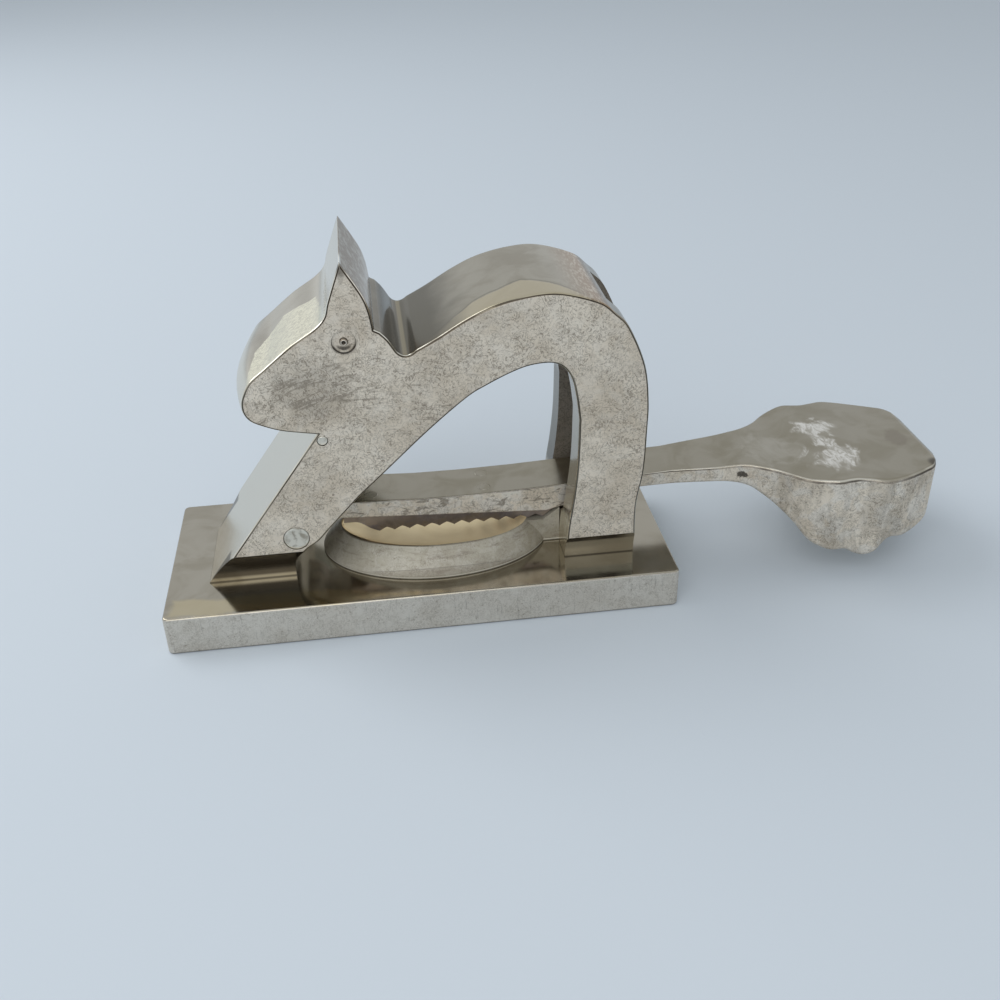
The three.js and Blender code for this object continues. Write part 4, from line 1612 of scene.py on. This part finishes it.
    def build(self, finish: Finish) -> None:
        """Models the body and dresses it.

        Args:
            finish: Its material.
        """
        lay = self.layout
        body = plate("body_casting", self.outline(), self.stations)
        self._crown_nose(body)
        self._round(body)
        knee = lay.on_body(self.heel[4])[0]
        hind = lay.on_body(self.shin[4])[0]
        carve(
            body,
            *self._coves(self.fore_cove, lay.toe_x - OVERRUN, knee),
            *self._coves(self.hind_cove, hind - OVERRUN, lay.along(1) + OVERRUN),
            *self._room_for_bar(),
            self._hole(lay.pivot, lay.pin_radius + self.pin_fit[0]),
            self._hole(lay.on_body(self.throat_pin), self.throat_pin_radius + self.pin_fit[1]),
            *self._eye_tools(),
            *lay.screw_holes(),
        )
        settle(body, 30, Body.STAND, Slot.BODY, finish, "squirrel_body")


@dataclass
class LowerJaw:
    """The oval lower jaw, its bowl, and the web that ends at the hind leg."""

    layout: Layout
    length: float = 64
    width: float = 42.6
    height: float = 7.2
    bowl_length: float = 53
    bowl_width: float = 31.2
    bowl_depth: float = 5
    centre_share: float = 0.5315
    powers: Triple = (1.8, 2.4, 2)
    sides: int = 144
    bowl_steps: int = 24
    wall: Line = (
        (0.03, 0.99), (0.08, 1), (0.12, 0.993), (0.25, 0.91), (0.45, 0.74), (0.65, 0.53),
        (0.86, 0.28), (0.96, 0.15), (0.99, 0.11), (1, 0.07),
    )
    sole_share: float = 0.985
    last_tooth_share: float = 0.7834
    foot_share: Point = (0.825, 0.1135)

    def _ring(self, z: float, share: float, scale: float = 1) -> list[Vector]:
        """One ring of the oval.

        Args:
            z: Its height.
            share: 0 at the bowl's rim and 1 at the outline of the foot.
            scale: How far it is drawn in towards the middle.

        Returns:
            The ring's points.
        """
        half_length = scale * (self.bowl_length + (self.length - self.bowl_length) * share) / 2
        half_width = scale * (self.bowl_width + (self.width - self.bowl_width) * share) / 2
        front, rear, foot = self.powers
        centre = self.layout.along(self.centre_share)
        ring = []
        for i in range(self.sides):
            angle = math.tau * i / self.sides
            lengthways, across = math.cos(angle), math.sin(angle)
            end = rear if lengthways > 0 else front
            power = 2 / (end + (foot - end) * share)
            ring.append(Vector((
                centre + half_length * math.copysign(abs(lengthways) ** power, lengthways),
                half_width * math.copysign(abs(across) ** power, across),
                z,
            )))
        return ring

    def _bowl(self) -> list[list[Vector]]:
        """The bowl's rings, from its floor to its rim.

        Returns:
            The rings, in millimetres.
        """
        rim = self.layout.base_top + self.height
        angles = [i / self.bowl_steps * math.pi / 2 for i in range(self.bowl_steps + 1)]
        return [self._ring(rim - self.bowl_depth * math.cos(a), 0, math.sin(a)) for a in angles]

    def build(self, finish: Finish) -> None:
        """Models the jaw and dresses it.

        Args:
            finish: Its material.
        """
        lay = self.layout
        rim = lay.base_top + self.height
        rings = [self._ring(lay.base_top, self.sole_share, scale) for scale in (0, 1)]
        wall = spline([(share, level) for level, share in self.wall], 3)
        rings += [self._ring(lay.base_top + level * self.height, share) for share, level in wall]
        jaw = loft("lower_jaw_casting", rings + self._bowl()[::-1])
        foot_x = lay.on_body(self.foot_share)[0]
        middle = lay.along(self.centre_share)
        floor = lay.rising_height(foot_x) - lay.fit
        tooth_x = lay.along(self.last_tooth_share)
        half = lay.bar_width / 2
        web = plate("web", [
            (middle, lay.base_top), (foot_x - lay.fit, lay.base_top), (foot_x - lay.fit, floor),
            (tooth_x, rim), (middle, rim),
        ], (-half, half))
        over = [self._ring(rim + OVERRUN, 0), self._ring(rim + OVERRUN, 0, 0)]
        carve(jaw, web, operation="UNION")
        carve(jaw, loft("bowl", self._bowl() + over), *lay.screw_holes("jaw"))
        settle(jaw, 40, Body.STAND, Slot.BODY, finish, "lower_jaw")


@dataclass
class UpperJaw:
    """The dark toothed jaw under the bar."""

    layout: Layout
    width: float = 13
    teeth: int = 12
    depth: float = 1.1
    tip_z: float = 18.8
    lead: Line = ((0.3167, 0.65), (0.3425, 0.65), (0.355, 0.56), (0.378, 0.2))
    tooth_shares: Point = (0.3974, 0.7834)
    end_share: float = 0.811
    root_steps: int = 8
    root_power: float = 1.2
    edge: float = 0.12

    def outline(self) -> list[Point]:
        """The side view: the seat, the lead, and teeth with hollow roots.

        Returns:
            The corners as (x, z).
        """
        lay = self.layout
        front, end = lay.along(self.lead[0][0]), lay.along(self.end_share)
        seat_end = lay.on_bar(lay.seat_shares[1])
        depth = lay.seat_height(front) - lay.fit - self.tip_z
        line = [
            (end, lay.rising_height(end) - lay.fit),
            (seat_end[0], seat_end[1] - lay.fit),
            (front, lay.seat_height(front) - lay.fit),
        ]
        first, last = map(lay.along, self.tooth_shares)
        lead = [(lay.along(share), self.tip_z + level * depth) for share, level in self.lead]
        line += [lead[0], *spline([*lead[1:], (first, self.tip_z)], 5)[:-1]]
        pitch = (last - first) / (self.teeth - 1)
        for i in range(self.teeth - 1):
            for step in range(self.root_steps):
                t = step / self.root_steps
                hollow = 1 - abs(2 * t - 1) ** self.root_power
                line.append((first + (i + t) * pitch, self.tip_z + hollow * self.depth))
        line.append((last, self.tip_z))
        return line

    def build(self, finish: Finish) -> None:
        """Models the jaw and dresses it.

        Args:
            finish: Its material.
        """
        half = self.width / 2
        jaw = plate("toothed_jaw", self.outline(), (-half, half))
        round_edges(jaw, self.edge, 2, 40)
        carve(jaw, *self.layout.rivet_holes())
        settle(jaw, 30, Body.LEVER, Slot.JAW, finish, "upper_jaw")


@dataclass
class TailLever:
    """The lever: round eye, flat bar, neck and leaf-shaped tail."""

    layout: Layout
    neck_length: float = 36.6
    tail_length: float = 50
    tail_width: float = 49.8
    tail_depth: float = 25
    crown_share: float = 1.1
    flare_share: float = 0.3
    eye_wall: float = 2.6
    pin_fit: float = 0.12
    edge_bar: float = 0.35
    edge_tail: float = 1.3
    corner_steps: int = 6
    corner_limits: Point = (0.9, 0.45)
    bar_rings: int = 60
    tail_rings: int = 150
    fold_depth: float = 1.1
    fold_width: float = 3.2
    fold_shares: Point = (0.45, 0.69)
    fold_fade: Point = (0.04, 0.2)
    fold_core: float = 8
    neck_top: Line = ((0.4, 0.83), (0.65, 0.93), (0.85, 1.05))
    neck_under: Line = (
        (0.9, -0.33), (0.8, -0.13), (0.68, -0.02), (0.5, -0.01), (0.3, -0.05),
    )
    tail_top: Line = (
        (0, 0.02), (0.16, 0.035), (0.33, 0), (0.5, 0.005), (0.74, 0.03), (0.97, 0.03),
    )
    tail_end: Line = ((1.004, 0.12), (1.01, 0.33), (1, 0.52), (0.96, 0.676))
    tip_share: float = 1.006
    tail_under: Line = (
        (0.9, 0.765), (0.84, 0.812), (0.765, 0.838), (0.69, 0.822), (0.64, 0.88),
        (0.585, 0.955), (0.535, 1), (0.48, 0.985), (0.43, 0.93), (0.36, 0.915),
        (0.29, 0.88), (0.22, 0.81), (0.15, 0.64), (0.06, 0.476), (-0.02, 0.36),
    )
    plan: Line = (
        (-0.3, 0.36), (-0.12, 0.4), (0.01, 0.51), (0.1, 0.64), (0.17, 0.78), (0.24, 0.875),
        (0.33, 0.95), (0.4, 0.935), (0.45, 0.93), (0.52, 0.965), (0.59, 1), (0.67, 0.97),
        (0.76, 0.9), (0.86, 0.8), (0.935, 0.7), (0.98, 0.49), (0.998, 0.23),
    )

    def _on_neck(self, share: Point) -> Point:
        """A share of the neck as a point of the side view.

        Args:
            share: Shares of the neck's length and of the bar's thickness.

        Returns:
            The point as (x, z).
        """
        lay = self.layout
        return lay.along(1) + share[0] * self.neck_length, (
            lay.pivot[1] + share[1] * lay.bar_thickness
        )

    def _on_tail(self, share: Point) -> Point:
        """A share of the tail as a point of the side view.

        Args:
            share: Shares of the tail's length and of its depth.

        Returns:
            The point as (x, z).
        """
        lay = self.layout
        crown = lay.pivot[1] + self.crown_share * lay.bar_thickness
        return self._tail_x(share[0]), crown - share[1] * self.tail_depth

    def _tail_x(self, share: float) -> float:
        """A share of the tail's length as X."""
        return self.layout.along(1) + self.neck_length + share * self.tail_length

    def _lines(self) -> tuple[list[Point], list[Point], list[Point]]:
        """The top, the underside and the half width, each as a line along X.

        Returns:
            The three lines, from the pivot to the tip.
        """
        lay = self.layout
        bar = lay.bar_top()
        top = bar[:-1] + spline(
            [bar[-1], *map(self._on_neck, self.neck_top), *map(self._on_tail, self.tail_top)], 8
        )
        end = spline([top[-1], *map(self._on_tail, self.tail_end)], 8)
        peak = max(range(len(end)), key=lambda i: end[i][0])
        under = end[peak:] + spline(
            [end[-1], *map(self._on_tail, self.tail_under), *map(self._on_neck, self.neck_under)],
            8,
        )[1:]
        top += end[1:peak + 1]
        seat_start, seat_end = map(lay.on_bar, lay.seat_shares)
        under += [lay.on_bar(share) for share in reversed(lay.under_shares)]
        under += [seat_end, seat_start, (lay.pivot[0], lay.seat_height(lay.pivot[0]))]
        half = lay.bar_width / 2
        flare = lay.along(1) + self.flare_share * self.neck_length
        plan = [(lay.pivot[0], half)] + spline([
            (flare, half),
            *[(self._tail_x(x), width * self.tail_width / 2) for x, width in self.plan],
            (self._tail_x(self.tip_share), 0),
        ], 8)
        return top, under[::-1], plan

    def _section(self, x: float, half: float, low: float, high: float) -> list[Vector]:
        """A rounded rectangle across the lever.

        Args:
            x: Its place along the lever.
            half: Half its width.
            low: Height of its underside.
            high: Height of its top.

        Returns:
            The ring's points.
        """
        tail_share = min(max((x - self.layout.along(1)) / self.neck_length, 0), 1)
        radius = self.edge_bar + (self.edge_tail - self.edge_bar) * tail_share
        widest, highest = self.corner_limits
        radius = min(radius, half * widest, (high - low) * highest)
        corners = (
            (half - radius, high - radius, 0), (radius - half, high - radius, 90),
            (radius - half, low + radius, 180), (half - radius, low + radius, 270),
        )
        ring = []
        for y, z, start in corners:
            for i in range(self.corner_steps + 1):
                angle = math.radians(start + 90 * i / self.corner_steps)
                ring.append(Vector((
                    x, y + radius * math.cos(angle), z + radius * math.sin(angle)
                )))
        return ring

    def _fold_sides(self, piece: Piece) -> None:
        """Presses the slanting valley between two petals into both sides of the tail.

        Args:
            piece: The lever.
        """
        crown_x, crown_z = self._on_tail((0, 0))
        (first, last), (start, fade) = self.fold_shares, self.fold_fade
        for vertex in piece.data.vertices:
            x, y, z = vertex.co / MM
            if x > crown_x:
                low = (crown_z - z) / self.tail_depth
                valley = self._tail_x(first + (last - first) * low)
                fold = self.fold_depth * math.exp(-((x - valley) / self.fold_width) ** 2)
                inwards = min(max((low - start) / fade, 0), 1) * min(abs(y) / self.fold_core, 1)
                vertex.co.y -= math.copysign(fold * inwards, y) * MM

    def build(self, finish: Finish) -> None:
        """Models the lever and dresses it.

        Args:
            finish: Its material.
        """
        lay = self.layout
        top, under, plan = self._lines()
        start, tip = lay.pivot[0], self._tail_x(self.tip_share - 0.001)
        neck = lay.along(1)
        places = [start + (neck - start) * i / self.bar_rings for i in range(self.bar_rings)]
        places += [neck + (tip - neck) * i / self.tail_rings for i in range(self.tail_rings - 3)]
        places += [tip - (tip - places[-1]) * 0.5 ** i for i in range(1, 6)]
        rings = [self._section(x, *(height_at(line, x) for line in (plan, under, top)))
                 for x in places]
        for end, ring in ((0, rings[0]), (len(rings) + 1, rings[-1])):
            middle = sum(ring, Vector()) / len(ring)
            rings.insert(end, [middle] * len(ring))
        lever = loft("tail_casting", rings)
        self._fold_sides(lever)
        half = lay.bar_width / 2
        at, past = in_side_view(lay.pivot), half + 1
        eye, bore = lay.pin_radius + lay.fit + self.eye_wall, lay.pin_radius + self.pin_fit
        carve(lever, rod("eye", at, ACROSS, eye, (-half, half), 64), operation="UNION")
        carve(lever, rod("bore", at, ACROSS, bore, (-past, past), HOLE_SIDES),
              *lay.rivet_holes())
        settle(lever, 32, Body.LEVER, Slot.LEVER, finish, "tail_lever")


@dataclass
class BasePlate:
    """The flat base with rounded upright corners and eased edges."""

    layout: Layout
    length: float = 138.1
    depth: float = 57
    corner: float = 1.6
    edge: float = 0.55

    def build(self, finish: Finish) -> None:
        """Models the base and dresses it.

        Args:
            finish: Its material.
        """
        lay = self.layout
        size = (self.length, self.depth, lay.base_top)
        base = block("base_block", (0, 0, lay.base_top / 2), size)
        round_weighted(
            base, self.corner, 6, lambda first, second: float(abs(first.z - second.z) > MM)
        )
        round_edges(base, self.edge, 3, 50)
        carve(base, *lay.screw_holes())
        settle(base, 30, Body.STAND, Slot.BASE, finish, "base_plate")


@dataclass
class Fasteners:
    """The pivot pin, the throat pin, the eye studs, the jaw rivets and the screws."""

    layout: Layout
    squirrel: Squirrel
    chamfer: float = 0.25
    pin_sides: int = 72
    thread_pitch: float = 0.8
    thread_depth: float = 0.18
    slot_size: Point = (1.1, 1.1)
    rivet_embed: float = 1.4

    def _pin(self, name: str, at: Point, radius: float, finish: Finish) -> None:
        """A straight pin across the body, with chamfered ends that are dished a little.

        Args:
            name: Its CAD node.
            at: Its place in the side view.
            radius: Its radius.
            finish: Its material.
        """
        half, cut = self.squirrel.width / 2, self.chamfer
        end = [(0, -0.14), (radius * 0.4, -0.1), (radius * 0.75, -0.03), (radius - cut, 0),
               (radius - cut * 0.3, -cut * 0.3), (radius, -cut)]
        profile = [(r, -half - d) for r, d in end]
        profile += [(radius, y) for y in (-half + 1, half - 1)]
        profile += [(r, half + d) for r, d in reversed(end)]
        pin = turned(name + "_turned", profile, in_side_view(at), ACROSS, self.pin_sides)
        settle(pin, 40, Body.STAND, Slot.PIN, finish, name)

    def _stud(self, side: Side, finish: Finish) -> None:
        """The eye: a stud with a raised ring round a drilled middle.

        Args:
            side: Which eye it is.
            finish: Its material.
        """
        body = self.squirrel
        radius, length = body.stud_radius, body.stud_length
        profile = [
            (0, 0), (radius - 0.1, 0), (radius, 0.1), (radius, length - 0.3),
            (radius * 0.95, length - 0.12), (radius * 0.84, length - 0.03),
            (radius * 0.72, length), (radius * 0.6, length - 0.05),
            (radius * 0.5, length - 0.25), (radius * 0.3, length - 0.42), (0, length - 0.46),
        ]
        foot = side.value * (body.width / 2 + body.stud_proud - length)
        start = in_side_view(self.layout.on_body(body.eye), foot)
        name = f"eye_stud_{side.name.lower()}"
        stud = turned(name + "_turned", profile, start, ACROSS * side.value, 48)
        settle(stud, 50, Body.STAND, Slot.PIN, finish, name)

    def _rivet(self, name: str, x: float, y: float, finish: Finish) -> None:
        """A flush rivet through the bar into the toothed jaw.

        Args:
            name: Its CAD node.
            x: Its place along the bar.
            y: Its place across the bar.
            finish: Its material.
        """
        lay, radius = self.layout, self.layout.rivet_radius
        low = lay.seat_height(x) - lay.fit - self.rivet_embed
        high = height_at(lay.bar_top(), x)
        profile = [(0, low), (radius - 0.1, low), (radius, low + 0.1), (radius, high - 0.05),
                   (radius - 0.05, high), (0, high)]
        rivet = turned(name + "_turned", profile, Vector((x, y, 0)), UP, 56)
        settle(rivet, 40, Body.LEVER, Slot.PIN, finish, name)

    def _screw(self, name: str, share: float, y: float, finish: Finish) -> None:
        """A countersunk screw with its head down in the base.

        Args:
            name: Its CAD node.
            share: Its place as a share of the body's length.
            y: Its place across the base.
            finish: Its material.
        """
        lay = self.layout
        foot, head, shank = lay.screw_recess, lay.screw_head_radius, lay.screw_radius
        neck, tip = foot + lay.screw_head_height, foot + lay.screw_length
        profile = [(0, foot), (head - 0.15, foot), (head, foot + 0.12), (head, foot + 0.3),
                   (shank + 0.15, neck - 0.1), (shank, neck + 0.1)]
        z = neck + 0.5
        while z < tip - 1.2:
            profile += [(shank, z), (shank - self.thread_depth, z + self.thread_pitch / 2)]
            z += self.thread_pitch
        profile += [(shank, z), (shank - 0.5, tip), (0, tip)]
        x = lay.along(share)
        screw = turned(name + "_turned", profile, Vector((x, y, 0)), UP, 40)
        width, depth = self.slot_size
        carve(screw, block("screw_slot", (x, y, foot), (3 * head, width, 2 * depth)))
        settle(screw, 40, Body.STAND, Slot.SCREW, finish, name)

    def build(self, pin_finish: Finish, eye_finish: Finish,
              rivet_finish: Finish, screw_finish: Finish) -> None:
        """Models and dresses every pin, stud, rivet and screw.

        Args:
            pin_finish: Finish of the two pins.
            eye_finish: Finish of the eye studs.
            rivet_finish: Finish of the rivets.
            screw_finish: Finish of the screws.
        """
        lay, body = self.layout, self.squirrel
        self._pin("pivot_pin", lay.pivot, lay.pin_radius, pin_finish)
        throat = lay.on_body(body.throat_pin)
        self._pin("throat_pin", throat, body.throat_pin_radius, pin_finish)
        for side in Side:
            self._stud(side, eye_finish)
        for name, (x, y) in lay.rivet_places().items():
            self._rivet(name, x, y, rivet_finish)
        for name, share, y in lay.screw_places:
            self._screw(name, share, y, screw_finish)


@dataclass
class Studio:
    """Floor, lamps and the camera at the photograph's angle."""

    camera_at: Triple = (-9.08, -265.64, 184.13)
    right: Triple = (0.99079, -0.13395, -0.01995)
    down: Triple = (-0.0865, -0.51254, -0.85429)
    forward: Triple = (0.10421, 0.84815, -0.51941)
    lens: float = 39.6
    sensor: float = 36
    clip: Point = (0.01, 20)
    floor_tone: Colour = linear(203, 212, 221)
    floor_size: float = 6.0
    lamps: tuple[tuple[str, Triple, float, float], ...] = (
        ("key", (-0.75, 0.42, 0.8), 0.9, 5.6),
        ("front", (-0.3, -0.8, 0.75), 0.9, 3.6),
    )
    background: Colour = (0.74, 0.77, 0.8)
    ambient: Colour = (0.54, 0.56, 0.57)

    def _camera(self) -> None:
        """Places the camera."""
        data = bpy.data.cameras.new("camera")
        data.lens = self.lens
        data.sensor_width = self.sensor
        data.clip_start, data.clip_end = self.clip
        camera = bpy.data.objects.new("camera", data)
        bpy.context.scene.collection.objects.link(camera)
        rows = [Vector(self.right), -Vector(self.down), -Vector(self.forward)]
        camera.matrix_world = Matrix.Translation(Vector(self.camera_at) * MM) @ (
            Matrix(rows).transposed().to_4x4()
        )
        bpy.context.scene.camera = camera

    def _floor(self) -> None:
        """Lays the pale floor."""
        floor = primitive("floor", bpy.ops.mesh.primitive_plane_add, size=self.floor_size)
        tree = FinishTree("pale_floor")
        tree.set(Base_Color=self.floor_tone, Roughness=0.9, Specular_IOR_Level=0.2)
        floor.data.materials.append(tree.material)

    def _lamps(self) -> None:
        """Hangs the soft lamps, all turned to the press."""
        for name, at, size, power in self.lamps:
            data = bpy.data.lights.new(name, "AREA")
            data.shape, data.size, data.energy = "SQUARE", size, power
            lamp = bpy.data.objects.new(name, data)
            bpy.context.scene.collection.objects.link(lamp)
            lamp.location = at
            lamp.rotation_mode = "QUATERNION"
            lamp.rotation_quaternion = Vector(at).to_track_quat("Z", "Y")

    def _world(self) -> None:
        """Lights the scene evenly, with a pale background for camera and glossy rays."""
        world = bpy.context.scene.world = bpy.data.worlds.new("studio")
        tree = NodeTree(world)
        path = tree.node("ShaderNodeLightPath")
        rays = ("Is Camera Ray", "Is Glossy Ray", "Is Transmission Ray")
        seen = functools.reduce(Signal.at_least, (Signal(tree, path.outputs[ray]) for ray in rays))
        ambient, pale = (
            tree.node("ShaderNodeBackground", {}, {"Color": tone}).outputs[0]
            for tone in (self.ambient, self.background)
        )
        mixed = tree.node("ShaderNodeMixShader", {}, {0: seen, 1: ambient, 2: pale})
        tree.node("ShaderNodeOutputWorld", {}, {"Surface": mixed.outputs[0]})

    def build(self) -> None:
        """Sets up the whole studio."""
        self._camera()
        self._floor()
        self._lamps()
        self._world()
        bpy.context.scene.view_settings.view_transform = "Standard"


def main() -> None:
    """Builds the press piece by piece, then its studio."""
    logging.basicConfig(level=logging.INFO, format="%(message)s")
    layout = Layout()
    squirrel = Squirrel(layout)
    squirrel.build(BodyNickel("body_nickel_plate").make())
    BasePlate(layout).build(BaseNickel(
        "base_nickel_plate", polish=linear(170, 164, 151), tarnish=linear(154, 147, 132),
        matte=linear(203, 199, 190), warm=linear(197, 192, 182), polish_rough=0.1,
        worm_share=0.25, pale_share=0.1,
    ).make())
    LowerJaw(layout).build(BowlNickel(
        "bowl_nickel_plate", polish=linear(226, 208, 170), tarnish=linear(216, 197, 158),
        matte=linear(176, 171, 156), warm=linear(166, 160, 145), polish_rough=0.3,
        worm_share=0.25, matte_metal=0.4,
    ).make())
    lever_finish = LeverNickel(
        "lever_nickel_plate", polish=linear(152, 146, 132), tarnish=linear(137, 130, 113),
        worm_share=0.45, worm_size=2.6, pale_share=0.5,
    ).make()
    TailLever(layout).build(lever_finish)
    UpperJaw(layout).build(ToothNickel(
        "tooth_nickel_plate", polish=linear(146, 133, 121), tarnish=linear(122, 110, 99),
        matte=linear(140, 128, 117), warm=linear(122, 111, 100), polish_rough=0.24,
    ).make())
    Fasteners(layout, squirrel).build(
        SteelFinish("pin_steel_ground", tone=linear(218, 213, 200)).make(),
        SteelFinish(
            "eye_steel", tone=linear(196, 188, 176), hole_shade_centre=layout.on_body(squirrel.eye),
            hole_shade_radius=0.5,
        ).make(),
        lever_finish,
        SteelFinish("screw_steel_plain", tone=linear(150, 148, 142), rough=0.4).make(),
    )
    Studio().build()


if __name__ == "__main__":
    main()
